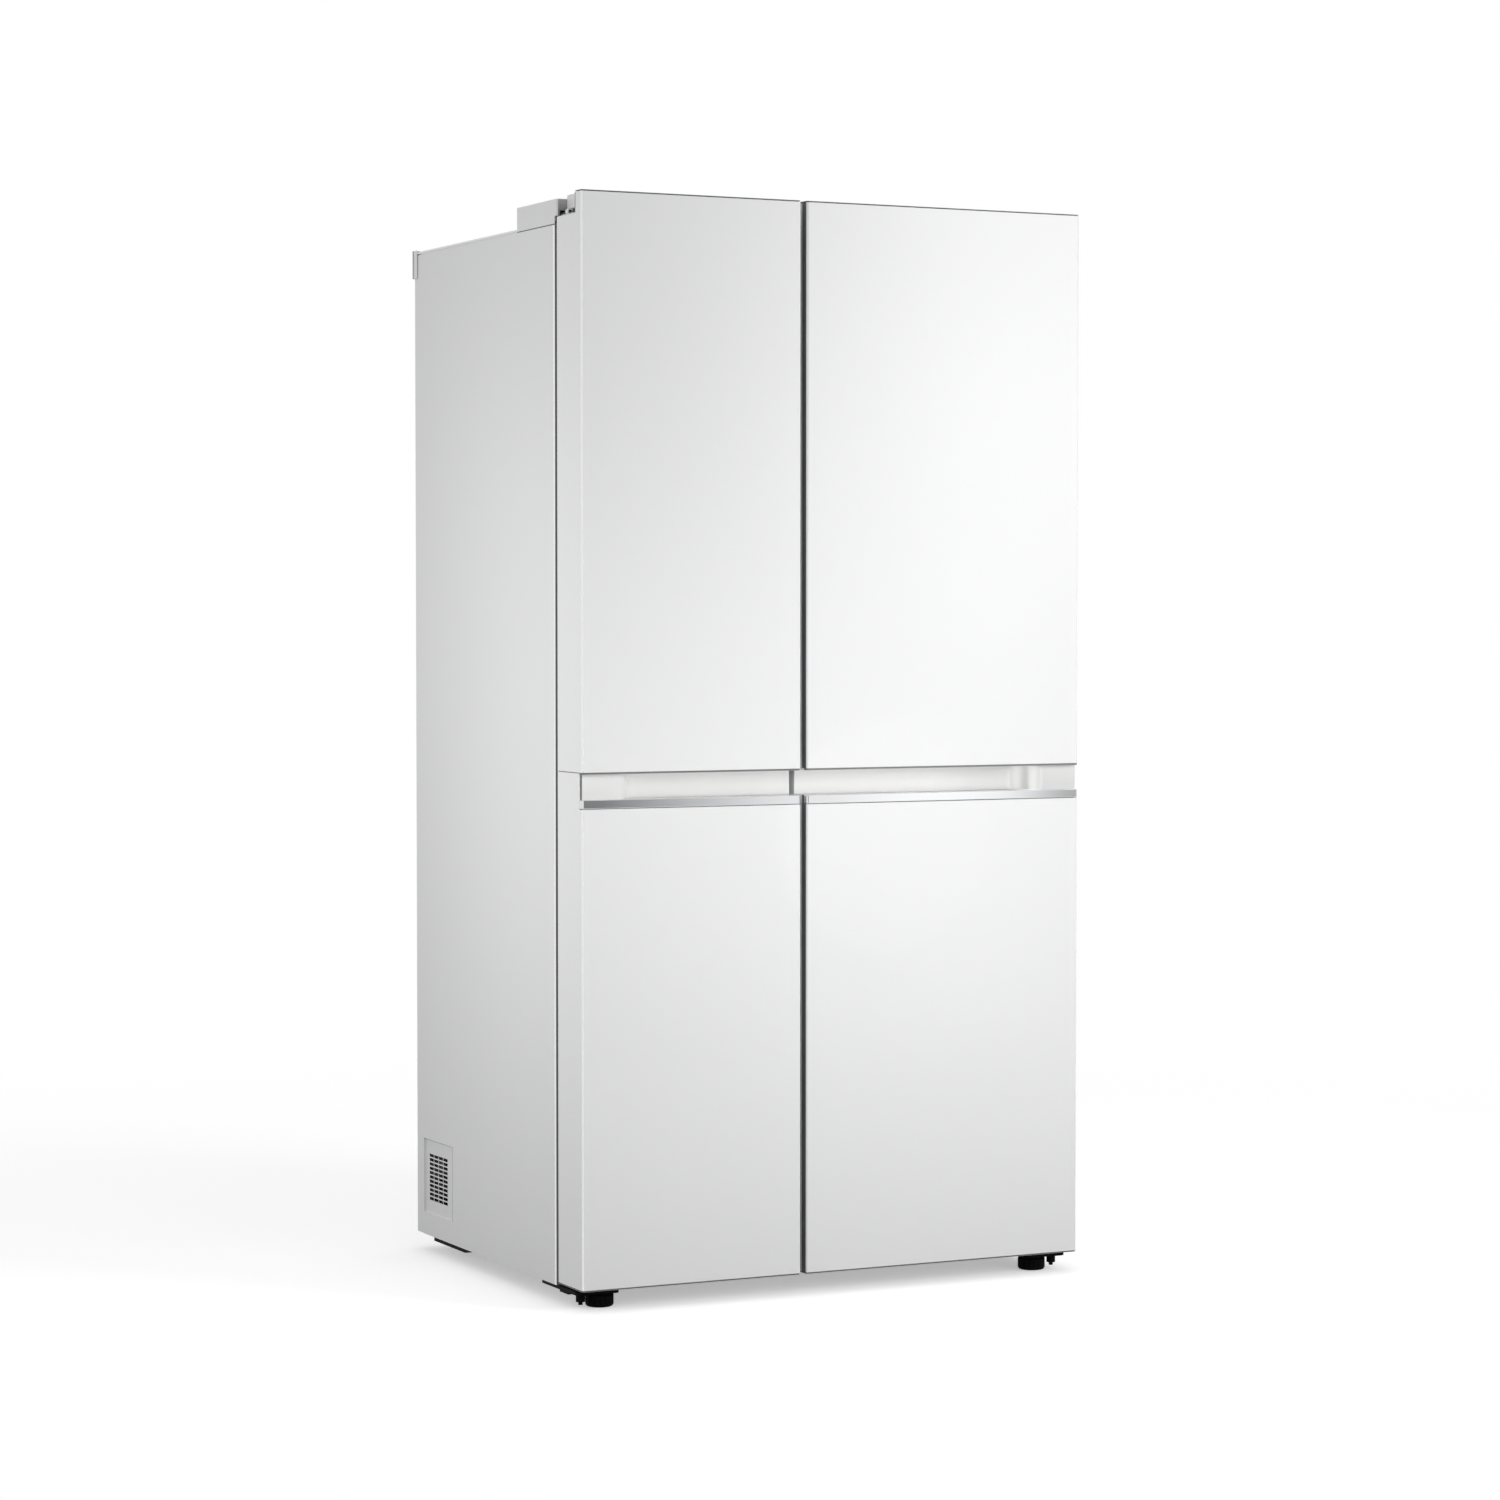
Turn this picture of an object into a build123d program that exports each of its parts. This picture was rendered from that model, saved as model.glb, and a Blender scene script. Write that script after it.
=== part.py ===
from build123d import *
import math
import os

# Side by side refrigerator in millimetres.
# Every piece is drawn in a corner frame: x from the left side, y back from the door fronts, z up from
# the floor. Doors and other handed pieces are drawn for the left side, and the right one is mirrored.
# Saving moves the part so that its origin is in the middle of the floor, with +X to the right.

# Overall size, with the front feet wound right in
WIDTH = 913.0
DEPTH = 735.0
HEIGHT = 1782.5

# Cabinet
CASE_FRONT = 105.0
CASE_BACK = 725.0
CASE_BOTTOM = 29.5
CASE_TOP = 1742.5
CASE_INSET = 1.0
CASE_EDGE_R = 5.0
CASE_FRONT_R = 5.0
SIDE_SEAM = 1.4
FLANGE_PLAY = 0.1
FLANGE_DOWN = 6.0
SHEET = 1.0
FRONT_FLANGE = 42.5
REAR_BAND = 28.0
FOAM_FRONT = CASE_FRONT + 2.0
FOAM_BACK = CASE_BACK - 3.0
SPACER_START = 711.0
SPACER_WIDTH = 30.0
SPACER_HEIGHT = 48.0

# Compartments, as the inside faces of the liners
LINER = 2.0
FREEZER_LEFT = 55.0
FREEZER_RIGHT = 362.0
FRIDGE_LEFT = 425.0
FRIDGE_RIGHT = 865.0
ROOM_FLOOR = 90.0
ROOM_CEILING = 1690.0
ROOM_BACK = 655.0
STEP_TOP = 325.0
STEP_FRONT = 445.0
ROOM_CORNER_R = 10.0
LEDGE = 8.0

# Machine compartment behind the step
MACHINE_FRONT = 495.0
MACHINE_TOP = 262.0

# Doors, with u measured from the hinge side
FREEZER_DOOR = 389.5
FRIDGE_DOOR = 513.8
DOOR_BOTTOM = 34.0
DOOR_BACK = 96.0
DOOR_EDGE_R = 4.0
DOOR_LINER = 2.5
CAP_LIP = 1.0
CAP_LIP_INSET = 0.5
CAP_GROOVE = 1.3
CAP_NECK_INSET = 3.0
SKIN_TOP = HEIGHT - CAP_LIP - CAP_GROOVE
SKIN_BOTTOM = DOOR_BOTTOM + CAP_LIP + CAP_GROOVE
TOP_CAP_DEEP = 24.0
BOTTOM_CAP_DEEP = 22.5
HINGE_BLOCK = 60.0
HINGE_BLOCK_BOTTOM = 1724.0
BORE_FLOOR = 4.0

# Grip pocket across each door and the trim strip below it
POCKET_TOP = 862.0
POCKET_LIP = 3.0
POCKET_FLOOR = 818.5
POCKET_DEEP = 44.0
POCKET_SHALLOW = 10.0
POCKET_BEND_START = 63.0
POCKET_BEND_END = 113.0
POCKET_WALL = 3.0
POCKET_BACK = 60.0
TRIM_BOTTOM = 803.3
TRIM_DEEP = 10.0
TRIM_GAP = 0.9
TRIM_INSET = 0.2
TRIM_RIM_R = 1.2
SEAM = 1.5
SEAM_BACKING = POCKET_TOP - SEAM - 1.0

# Hinges: the axis is measured from the outer side and from the door front
HINGE_SIDE = 19.5
HINGE_BEHIND = 53.0
PIN_R = 6.0
RUNNING = 0.05
NOTCH_WIDE = 54.0
NOTCH_FRONT = 24.0
NOTCH_BOTTOM = 1747.5
NOTCH_OPEN = 18.0
ARM_SLOT_TOP = 1760.5
ARM_BOTTOM = 1750.0
ARM_TOP = 1754.0
COVER_FRONT = 97.0
COVER_BACK = 264.0
COVER_WIDE = 124.0
COVER_TOP = 1777.0
COVER_WALL = 2.0
COVER_CORNER_R = 5.0
COVER_RIM_R = 2.0
COVER_MOUTH = (6.0, 36.0)
COVER_MOUTH_TOP = 1758.0
TOP_BRACKET = (8.0, 118.0)
TOP_BRACKET_BACK = 250.0
TOP_ARM_RIGHT = 31.0
RISER_FRONT = CASE_FRONT + 3.0
RISER_RIGHT = 45.0
STEEL = 4.0
EYE_SIDE = 9.0
EYE_REACH = (62.0, 71.0)
EYE_LEVEL = 1753.4
EYE_R = 5.0
EYE_HOLE_R = 2.6
TOP_SCREWS = ((28.0, 150.0), (98.0, 150.0), (63.0, 225.0))
TOP_SCREW_R = 2.5
BRACKET_TOP = CASE_BOTTOM
BRACKET_BOTTOM = 23.5
BRACKET_SIDES = (3.5, 80.0)
BRACKET_REACH = (30.0, 180.0)
BRACKET_RIB = (4.5, 22.5, 68.0, 102.0)
BRACKET_RIB_DEEP = 3.5
PIN_BOSS_R = 7.5
PIN_BOSS_BOTTOM = 10.0
PIN_STUB_R = 3.6
PIN_STUB_BOTTOM = 5.0
COLLAR_R = 13.0
COLLAR_TOP = DOOR_BOTTOM - 0.4
LOWER_PIN_UP = 20.0
BOTTOM_SCREWS = ((20.0, 165.0), (41.0, 130.0), (62.0, 165.0))
BOTTOM_SCREW_R = 3.0
SCREW_SLACK = 0.1
HEAD_HIGH = 3.0
HEAD_OVER = 2.0

# Door inside
GASKET_BACK = CASE_FRONT - 0.3
GASKET_WIDE = 16.0
GASKET_HINGE = 21.0
GASKET_FREE = 10.0
GASKET_BOTTOM = 46.0
GASKET_TOP = 1722.0
GASKET_LAYER = 3.0
GASKET_WAIST = 3.0
DYKE_BACK = 150.0
DYKE_WIDE = 26.0
DYKE_BOTTOM = 100.0
DYKE_TOP = 1680.0
FREEZER_DYKE = (67.0, 348.0)
FRIDGE_DYKE = (60.0, 474.0)
BIN_BACK = 205.0
BIN_HIGH = 110.0
BIN_WALL = 2.5
TRAY_R = 8.0
TRAY_INNER_R = 6.0
BIN_LEVELS = (160.0, 520.0, 880.0, 1260.0)
BIN_SIDE_GAP = 1.0
LUG = 6.0
LUG_FRONT = 112.0
LUG_BACK = 142.0

# Shelves and drawers
SHELF_FRONT = 235.0
GLASS = 4.0
SHELF_SIDE_GAP = 1.5
SHELF_LIP_DEEP = 17.0
SHELF_LIP_DOWN = 8.0
SHELF_LIP_UP = 10.0
SHELF_LIP_R = 3.0
SHELF_BAR_DEEP = 10.0
SHELF_BAR_UP = 14.0
LEDGE_FRONT = 255.0
FREEZER_SHELF_BACK = 545.0
FRIDGE_SHELF_BACK = 615.0
FREEZER_SHELVES = (522.0, 800.0, 1080.0, 1360.0)
FRIDGE_SHELVES = (552.0, 800.0, 1070.0, 1345.0)
DRAWER_FRONT = 250.0
DRAWER_WALL = 2.5
DRAWER_FACE = 8.0
DRAWER_SIDE_GAP = 3.0
SCOOP_HALF = 60.0
SCOOP_DEEP = 22.0
SCOOP_R = 12.0
LOWER_DRAWER_BACK = 440.0
LOWER_DRAWER_TOP = 300.0
UPPER_DRAWER_BOTTOM = 345.0
FREEZER_UPPER_DRAWER_TOP = 505.0
FRIDGE_UPPER_DRAWER_TOP = 535.0
LAMP_FRONT = 290.0
LAMP_BACK = 370.0
LAMP_HIGH = 12.0
FREEZER_LAMP_HALF = 60.0
FRIDGE_LAMP_HALF = 110.0

# Feet and rollers
FOOT_SIDE = 55.0
FOOT_BEHIND = 58.0
FOOT_R = 23.0
FOOT_HIGH = 20.5
FOOT_BOTTOM_R = 5.0
FOOT_TOP_R = 2.5
FLUTES = 16
FLUTE_R = 2.4
FLUTE_OUT = 1.2
FLUTE_BOTTOM = 6.0
STEM_R = 5.0
STEM_TOP = CASE_BOTTOM + 2.5
ROLLER_R = 14.0
ROLLER_WIDE = 22.0
ROLLER_SIDE = 84.0
ROLLER_BEHIND = 650.0
AXLE_R = 4.0
AXLE_OUT = 4.0
EAR_GAP = 1.0
EAR_THICK = 2.0
EAR_BOTTOM = 8.0
SKID = (19.0, 35.0)
SKID_FRONT = 521.0
SKID_BACK = 690.0
SKID_SLOPE = 24.0
SKID_BOTTOM = 15.5

# Cooling system
EVAPORATOR_ROOM = (78.0, 340.0, 592.0, 642.0, 350.0, 640.0)
CONDENSER_ROOM = (80.0, 320.0, 535.0, 690.0, 66.0, 225.0)
TUBE_R = 4.0
FIN = 1.0
FIN_MARGIN = 15.0
BEND_BOX = 6.0
BEND_INSET = 8.0
PAN = (70.0, 335.0, 525.0, 700.0)
PAN_BOTTOM = CASE_BOTTOM + 3.0
PAN_TOP = 58.0
PAN_WALL = 2.0
CAN_X = 640.0
CAN_Y = 612.0
CAN_R = 78.0
CAN_BOTTOM = 44.0
CAN_TOP = 212.0
EVAPORATOR_COVER_FRONT = 556.0
EVAPORATOR_COVER_BACK = 562.0
DUCT_HALF = 85.0
DUCT_FRONT = 625.0
DUCT_WALL = 7.0
DUCT_OUTLETS = (700.0, 940.0, 1210.0, 1480.0)

# Fans
CONDENSER_FAN = (380.0, 610.0, 140.0)
CONDENSER_BLADE_R = 72.0
EVAPORATOR_FAN = (208.5, 575.0, 900.0)
EVAPORATOR_BLADE_R = 50.0

# Side vent
VENT_FRONT = 557.0
VENT_BACK = 692.0
VENT_BOTTOM = 68.5
VENT_TOP = 197.5
VENT_COLUMNS = 4
VENT_ROWS = 11
SLOT_AREA = (587.0, 673.0, 90.5, 173.5)
SLOT_LONG = 19.2
SLOT_HIGH = 5.2
VENT_RIM = 5.0
VENT_DEEP = 2.0
VENT_WALL = 2.0

# Rear of the cabinet
BACK_RIBS = (120.0, 330.0, 540.0, 750.0)
BACK_RIB_WIDE = 45.0
BACK_RIB_LOW = 360.0
BACK_RIB_HIGH = 1640.0
COVER_SHEET = 1.5
COVER_SIDE = 18.0
LOUVRE_STARTS = (120.0, 560.0)
LOUVRE_LONG = 230.0
LOUVRE_HIGH = 7.0
LOUVRE_PITCH = 16.0
LOUVRES = 9
LOUVRE_LOW = 80.0
COVER_SCREW_R = 2.0
GLAND_X = 840.0
GLAND_Z = 150.0
GLAND_R = 10.0
GLAND_FLANGE_R = 14.0
GLAND_BORE_R = 4.5
CONTROL_BOX = (590.0, 738.0, 1420.0, 1620.0)


def block(x0, x1, y0, y1, z0, z1):
    return Pos((x0 + x1) / 2, (y0 + y1) / 2, (z0 + z1) / 2) * Box(x1 - x0, y1 - y0, z1 - z0)


def rounded_block(x0, x1, y0, y1, z0, z1, radius, axis=Axis.Z):
    body = block(x0, x1, y0, y1, z0, z1)
    return fillet(body.edges().filter_by(axis), radius)


def basin(x0, x1, y0, y1, z0, z1, radius):
    """A block whose upright and bottom edges are rounded, for trays and the hollows in them."""
    body = block(x0, x1, y0, y1, z0, z1)
    uprights = body.edges().filter_by(Axis.Z)
    bottom = body.edges().group_by(Axis.Z)[0]
    return fillet(uprights + bottom, radius)


def door_block(x0, x1, y0, y1, z0, z1, radius):
    """A block whose two upright front edges are rounded, as the door skin is."""
    body = block(x0, x1, y0, y1, z0, z1)
    uprights = body.edges().filter_by(Axis.Z).group_by(Axis.Y)[0]
    return fillet(uprights, radius)


def rod_x(x0, x1, y, z, radius):
    return Pos((x0 + x1) / 2, y, z) * Rot(0, 90, 0) * Cylinder(radius, x1 - x0)


def rod_y(x, y0, y1, z, radius):
    return Pos(x, (y0 + y1) / 2, z) * Rot(90, 0, 0) * Cylinder(radius, y1 - y0)


def rod_z(x, y, z0, z1, radius):
    return Pos(x, y, (z0 + z1) / 2) * Cylinder(radius, z1 - z0)


def upright_near(body, x, y):
    """The upright edge of a body that is nearest to a place in plan."""
    uprights = body.edges().filter_by(Axis.Z)
    return min(uprights, key=lambda edge: math.hypot(edge.center().X - x, edge.center().Y - y))


def plate_xy(points, z0, z1):
    return Pos(0, 0, z0) * extrude(make_face(Polyline(*points, close=True)), z1 - z0)


def plate_yz(points, x0, x1):
    return Pos(x0, 0, 0) * extrude(Plane.YZ * make_face(Polyline(*points, close=True)), x1 - x0)


def save(name, *solids):
    moved = [Pos(-WIDTH / 2, -DEPTH / 2, 0) * solid for solid in solids]
    export(name, moved)


def save_mirrored(name, *solids):
    moved = [mirror(Pos(-WIDTH / 2, -DEPTH / 2, 0) * solid, about=Plane.YZ) for solid in solids]
    export(name, moved)


def export(name, shapes):
    solids = [solid for shape in shapes for solid in shape.solids()]
    whole = solids[0] if len(solids) == 1 else Compound(children=solids)
    export_step(whole, f"parts/{name}.step")


def save_pair(name, *solids):
    save(f"{name}_left", *solids)
    save_mirrored(f"{name}_right", *solids)


# Doors


def door_skin(width, z0, z1):
    outer = door_block(0, width, 0, DOOR_BACK - DOOR_LINER, z0, z1, DOOR_EDGE_R)
    inner_r = DOOR_EDGE_R - SHEET
    inner = door_block(SHEET, width - SHEET, SHEET, DOOR_BACK, z0 - 1, z1 + 1, inner_r)
    return outer - inner


def hinge_notch():
    """The corner cut out for the hinge: open to the top at the side, and a low slot further in."""
    back = DOOR_BACK + 1
    slot = block(-1, NOTCH_WIDE, NOTCH_FRONT, back, NOTCH_BOTTOM, ARM_SLOT_TOP)
    return slot + block(-1, NOTCH_OPEN, NOTCH_FRONT, back, NOTCH_BOTTOM, HEIGHT + 1)


def door_upper_panel(width):
    return door_skin(width, POCKET_TOP, SKIN_TOP) - hinge_notch()


def door_lower_panel(width):
    skin = door_skin(width, SKIN_BOTTOM, POCKET_TOP - SEAM)
    skin -= block(-1, width + 1, -1, POCKET_SHALLOW, TRIM_BOTTOM, POCKET_TOP)
    skin -= block(width / 2, width + 1, -1, POCKET_DEEP, POCKET_FLOOR, POCKET_TOP)
    return skin


def grip_recess(width):
    """The hollow of the grip: shallow at the hinge side, then an S-bend to its full depth."""
    middle_u = (POCKET_BEND_START + POCKET_BEND_END) / 2
    middle_y = (POCKET_SHALLOW + POCKET_DEEP) / 2
    shallow = Line((-1, POCKET_SHALLOW), (POCKET_BEND_START, POCKET_SHALLOW))
    first = TangentArc((POCKET_BEND_START, POCKET_SHALLOW), (middle_u, middle_y), tangent=(1, 0))
    second = TangentArc((POCKET_BEND_END, POCKET_DEEP), (middle_u, middle_y), tangent=(-1, 0))
    deep = Line((POCKET_BEND_END, POCKET_DEEP), (width + 1, POCKET_DEEP))
    rest = Polyline((width + 1, POCKET_DEEP), (width + 1, -1), (-1, -1), (-1, POCKET_SHALLOW))
    outline = make_face([shallow, first, second, deep, rest])
    return Pos(0, 0, POCKET_FLOOR) * extrude(outline, POCKET_TOP - POCKET_LIP - POCKET_FLOOR)


def grip_pocket(width):
    """The moulding of the grip, with a lip under the upper panel and a backing behind the side seam."""
    bottom = TRIM_BOTTOM - POCKET_WALL
    top = POCKET_TOP + POCKET_WALL
    end = width - SHEET
    body = door_block(SHEET, end, SHEET, POCKET_BACK, bottom, top, DOOR_EDGE_R - SHEET)
    body -= block(-1, width + 1, -1, TRIM_DEEP, bottom - 1, POCKET_FLOOR)
    body -= grip_recess(width)
    inset = CAP_LIP_INSET
    lip_back = POCKET_SHALLOW - inset
    lip_bottom = POCKET_TOP - POCKET_LIP
    body += door_block(inset, width - inset, inset, lip_back, lip_bottom, POCKET_TOP, DOOR_EDGE_R)
    body += block(SHEET, end, POCKET_BACK, DOOR_BACK - DOOR_LINER, SEAM_BACKING, top)
    return body


def grip_trim(width):
    """A metal strip under the grip that goes round the upright edges of the door."""
    inset = TRIM_INSET
    low = TRIM_BOTTOM + TRIM_GAP
    high = POCKET_FLOOR - 0.3
    strip = door_block(inset, width - inset, inset, TRIM_DEEP, low, high, DOOR_EDGE_R)
    levels = strip.edges().group_by(Axis.Z)
    rims = [edge for edge in levels[0] + levels[-1] if edge.center().Y < TRIM_DEEP - 1]
    return fillet(rims, TRIM_RIM_R)


def pin_bore(z0, z1):
    return rod_z(HINGE_SIDE, HINGE_BEHIND, z0, z1, PIN_R + RUNNING)


def door_cap(width, body_bottom, body_top, neck_bottom, neck_top, lip_bottom, lip_top):
    """A body inside the skin, a neck that is set back as a shadow groove, and a lip over the skin's edge."""
    back = DOOR_BACK - DOOR_LINER
    inner_r = DOOR_EDGE_R - SHEET
    neck = CAP_NECK_INSET
    lip = CAP_LIP_INSET
    cap = door_block(SHEET, width - SHEET, SHEET, back, body_bottom, body_top, inner_r)
    cap += door_block(neck, width - neck, neck, back, neck_bottom, neck_top, inner_r)
    cap += door_block(lip, width - lip, lip, DOOR_BACK, lip_bottom, lip_top, DOOR_EDGE_R)
    return cap


def door_caps(width):
    lip_under = HEIGHT - CAP_LIP
    lip_over = DOOR_BOTTOM + CAP_LIP
    back = DOOR_BACK - DOOR_LINER
    top = door_cap(width, SKIN_TOP - TOP_CAP_DEEP, SKIN_TOP, SKIN_TOP, lip_under, lip_under, HEIGHT)
    top += door_block(SHEET, HINGE_BLOCK, SHEET, back, HINGE_BLOCK_BOTTOM, SKIN_TOP, DOOR_EDGE_R - SHEET)
    top -= hinge_notch()
    top -= pin_bore(HINGE_BLOCK_BOTTOM + BORE_FLOOR, NOTCH_BOTTOM + 1)
    body_top = SKIN_BOTTOM + BOTTOM_CAP_DEEP
    bottom = door_cap(width, SKIN_BOTTOM, body_top, lip_over, SKIN_BOTTOM, DOOR_BOTTOM, lip_over)
    bottom -= pin_bore(DOOR_BOTTOM - 1, DOOR_BOTTOM + LOWER_PIN_UP + 2)
    return top, bottom


def dyke_frame(dyke, inset):
    """The raised frame on the inside of the door, or the hollow inside it."""
    start, end = dyke
    front = DOOR_BACK - DOOR_LINER - inset
    back = DYKE_BACK - inset
    outer = block(start + inset, end - inset, front, back, DYKE_BOTTOM + inset, DYKE_TOP - inset)
    hollow = DYKE_WIDE - inset
    inner = block(start + hollow, end - hollow, front - 1, back + 1, DYKE_BOTTOM + hollow, DYKE_TOP - hollow)
    return outer - inner


def door_foam(width, dyke):
    inner_r = DOOR_EDGE_R - SHEET
    back = DOOR_BACK - DOOR_LINER
    end = width - SHEET
    pocket_bottom = TRIM_BOTTOM - POCKET_WALL
    pocket_top = POCKET_TOP + POCKET_WALL
    cap_top = SKIN_BOTTOM + BOTTOM_CAP_DEEP
    cap_bottom = SKIN_TOP - TOP_CAP_DEEP
    start, stop = dyke
    near = DYKE_WIDE - DOOR_LINER
    dyke_back = DYKE_BACK - DOOR_LINER
    low = DYKE_BOTTOM + DOOR_LINER
    high = DYKE_TOP - DOOR_LINER
    fills = [
        door_block(SHEET, end, SHEET, back, cap_top, pocket_bottom, inner_r),
        block(SHEET, end, POCKET_BACK, back, pocket_bottom, SEAM_BACKING),
        door_block(SHEET, end, SHEET, back, pocket_top, HINGE_BLOCK_BOTTOM, inner_r),
        door_block(HINGE_BLOCK, end, SHEET, back, HINGE_BLOCK_BOTTOM, cap_bottom, inner_r),
        block(start + DOOR_LINER, start + near, back, dyke_back, low, high),
        block(stop - near, stop - DOOR_LINER, back, dyke_back, low, high),
        block(start + near, stop - near, back, dyke_back, low, DYKE_BOTTOM + near),
        block(start + near, stop - near, back, dyke_back, DYKE_TOP - near, high),
    ]
    return fills


def bin_span(dyke):
    return dyke[0] + DYKE_WIDE + BIN_SIDE_GAP, dyke[1] - DYKE_WIDE - BIN_SIDE_GAP


def door_liner(width, dyke):
    front = DOOR_BACK - DOOR_LINER
    sheet = block(0, width, front, DOOR_BACK, SKIN_BOTTOM, SKIN_TOP)
    sheet -= hinge_notch()
    frame = dyke_frame(dyke, 0)
    rims = frame.edges().group_by(Axis.Y)[-1]
    sheet += fillet(rims, DOOR_LINER - 0.5)
    sheet -= dyke_frame(dyke, DOOR_LINER)
    start, end = bin_span(dyke)
    for level in BIN_LEVELS:
        for u0, u1 in ((start - 1.5, start + LUG), (end - LUG, end + 1.5)):
            sheet += block(u0, u1, LUG_FRONT, LUG_BACK, level - LUG, level)
    return sheet


def door_gasket(width):
    """Four strips that meet at the corners, each with a foot, a bellows waist and a magnet head."""
    left = GASKET_HINGE
    right = width - GASKET_FREE
    foot_back = DOOR_BACK + GASKET_LAYER
    head_front = GASKET_BACK - GASKET_LAYER
    waist = GASKET_WAIST
    wide = GASKET_WIDE
    strips = []
    for u in (left, right - wide):
        strip = block(u, u + wide, DOOR_BACK, foot_back, GASKET_BOTTOM, GASKET_TOP)
        strip += block(u + waist, u + wide - waist, foot_back, head_front, GASKET_BOTTOM, GASKET_TOP)
        strip += block(u, u + wide, head_front, GASKET_BACK, GASKET_BOTTOM, GASKET_TOP)
        strips.append(strip)
    for z in (GASKET_BOTTOM, GASKET_TOP - wide):
        start = left + wide
        end = right - wide
        strip = block(start, end, DOOR_BACK, foot_back, z, z + wide)
        strip += block(start, end, foot_back, head_front, z + waist, z + wide - waist)
        strip += block(start, end, head_front, GASKET_BACK, z, z + wide)
        strips.append(strip)
    return strips


def door_bins(dyke):
    start, end = bin_span(dyke)
    front = DOOR_BACK + 1.0
    bins = []
    for level in BIN_LEVELS:
        top = level + BIN_HIGH
        tray = basin(start, end, front, BIN_BACK, level, top, TRAY_R)
        inner_front = front + BIN_WALL
        inner_back = BIN_BACK - BIN_WALL
        floor = level + BIN_WALL
        tray -= basin(start + BIN_WALL, end - BIN_WALL, inner_front, inner_back, floor, top + 1, TRAY_INNER_R)
        bins.append(tray)
    return bins


def save_door(name, width, dyke, keep):
    keep(f"{name}_upper_panel", door_upper_panel(width))
    keep(f"{name}_lower_panel", door_lower_panel(width))
    keep(f"{name}_grip_pocket", grip_pocket(width))
    keep(f"{name}_grip_trim", grip_trim(width))
    keep(f"{name}_end_caps", *door_caps(width))
    keep(f"{name}_foam", *door_foam(width, dyke))
    keep(f"{name}_liner", door_liner(width, dyke))
    keep(f"{name}_gasket", *door_gasket(width))
    keep(f"{name}_bins", *door_bins(dyke))


# Hinges


def top_hinge():
    """A bracket on the cabinet top whose raised arm carries the pin down into the door."""
    left, right = TOP_BRACKET
    riser_back = RISER_FRONT + STEEL
    bracket = block(left, right, RISER_FRONT, TOP_BRACKET_BACK, CASE_TOP, CASE_TOP + STEEL)
    bracket += block(left, RISER_RIGHT, RISER_FRONT, riser_back, CASE_TOP, ARM_TOP)
    bracket += block(left, TOP_ARM_RIGHT, HINGE_BEHIND, riser_back, ARM_BOTTOM, ARM_TOP)
    bracket += rod_z(HINGE_SIDE, HINGE_BEHIND, ARM_BOTTOM, ARM_TOP, HINGE_SIDE - left)
    pin_bottom = HINGE_BLOCK_BOTTOM + BORE_FLOOR + 2
    bracket += rod_z(HINGE_SIDE, HINGE_BEHIND, pin_bottom, ARM_TOP + 3, PIN_R)
    start, end = EYE_REACH
    bracket += rod_y(EYE_SIDE, start, end, EYE_LEVEL, EYE_R)
    bracket -= rod_y(EYE_SIDE, start - 1, end + 1, EYE_LEVEL, EYE_HOLE_R)
    for x, y in TOP_SCREWS:
        bracket -= rod_z(x, y, CASE_TOP - 1, CASE_TOP + STEEL + 1, TOP_SCREW_R + SCREW_SLACK)
    return bracket


def hinge_cover():
    """A hollow cover over the bracket, with a mouth in front for the arm and a skirt down the side."""
    wall = COVER_WALL
    inner_front = COVER_FRONT + wall
    inner_back = COVER_BACK - wall
    cover = rounded_block(0, COVER_WIDE, COVER_FRONT, COVER_BACK, CASE_TOP, COVER_TOP, COVER_CORNER_R)
    rims = cover.edges().group_by(Axis.Z)[-1]
    cover = fillet(rims, COVER_RIM_R)
    cover -= block(wall, COVER_WIDE - wall, inner_front, inner_back, CASE_TOP - 1, COVER_TOP - wall)
    cover -= block(*COVER_MOUTH, COVER_FRONT - 1, inner_front + 1, CASE_TOP - 1, COVER_MOUTH_TOP)
    cover -= block(-1, COVER_WIDE + 1, COVER_FRONT - 1, CASE_FRONT, CASE_TOP - 1, NOTCH_BOTTOM + 2)
    skirt_back = COVER_BACK - COVER_CORNER_R
    cover += block(0, CASE_INSET, CASE_FRONT, skirt_back, CASE_TOP - CASE_EDGE_R, CASE_TOP + 5)
    return cover


def bottom_hinge():
    """A plate under the cabinet front that reaches under the door and carries pin, collar and foot."""
    plate = rounded_block(*BRACKET_SIDES, *BRACKET_REACH, BRACKET_BOTTOM, BRACKET_TOP, 10.0)
    plate += block(*BRACKET_RIB, BRACKET_BOTTOM - BRACKET_RIB_DEEP, BRACKET_BOTTOM)
    column = (
        (PIN_STUB_BOTTOM, PIN_BOSS_BOTTOM, PIN_STUB_R), (PIN_BOSS_BOTTOM, BRACKET_BOTTOM, PIN_BOSS_R),
        (BRACKET_TOP, COLLAR_TOP, COLLAR_R), (BRACKET_TOP, DOOR_BOTTOM + LOWER_PIN_UP, PIN_R),
    )
    for bottom, top, radius in column:
        plate += rod_z(HINGE_SIDE, HINGE_BEHIND, bottom, top, radius)
    plate -= rod_z(FOOT_SIDE, FOOT_BEHIND, BRACKET_BOTTOM - 1, BRACKET_TOP + 1, STEM_R + RUNNING)
    for x, y in BOTTOM_SCREWS:
        plate -= rod_z(x, y, BRACKET_BOTTOM - 1, BRACKET_TOP + 1, BOTTOM_SCREW_R + SCREW_SLACK)
    return plate


def cover_screw_places():
    left = 60.0
    row = [left, WIDTH / 2, WIDTH - left]
    return [(x, z) for z in (CASE_BOTTOM + 15, MACHINE_TOP - 10) for x in row]


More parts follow.
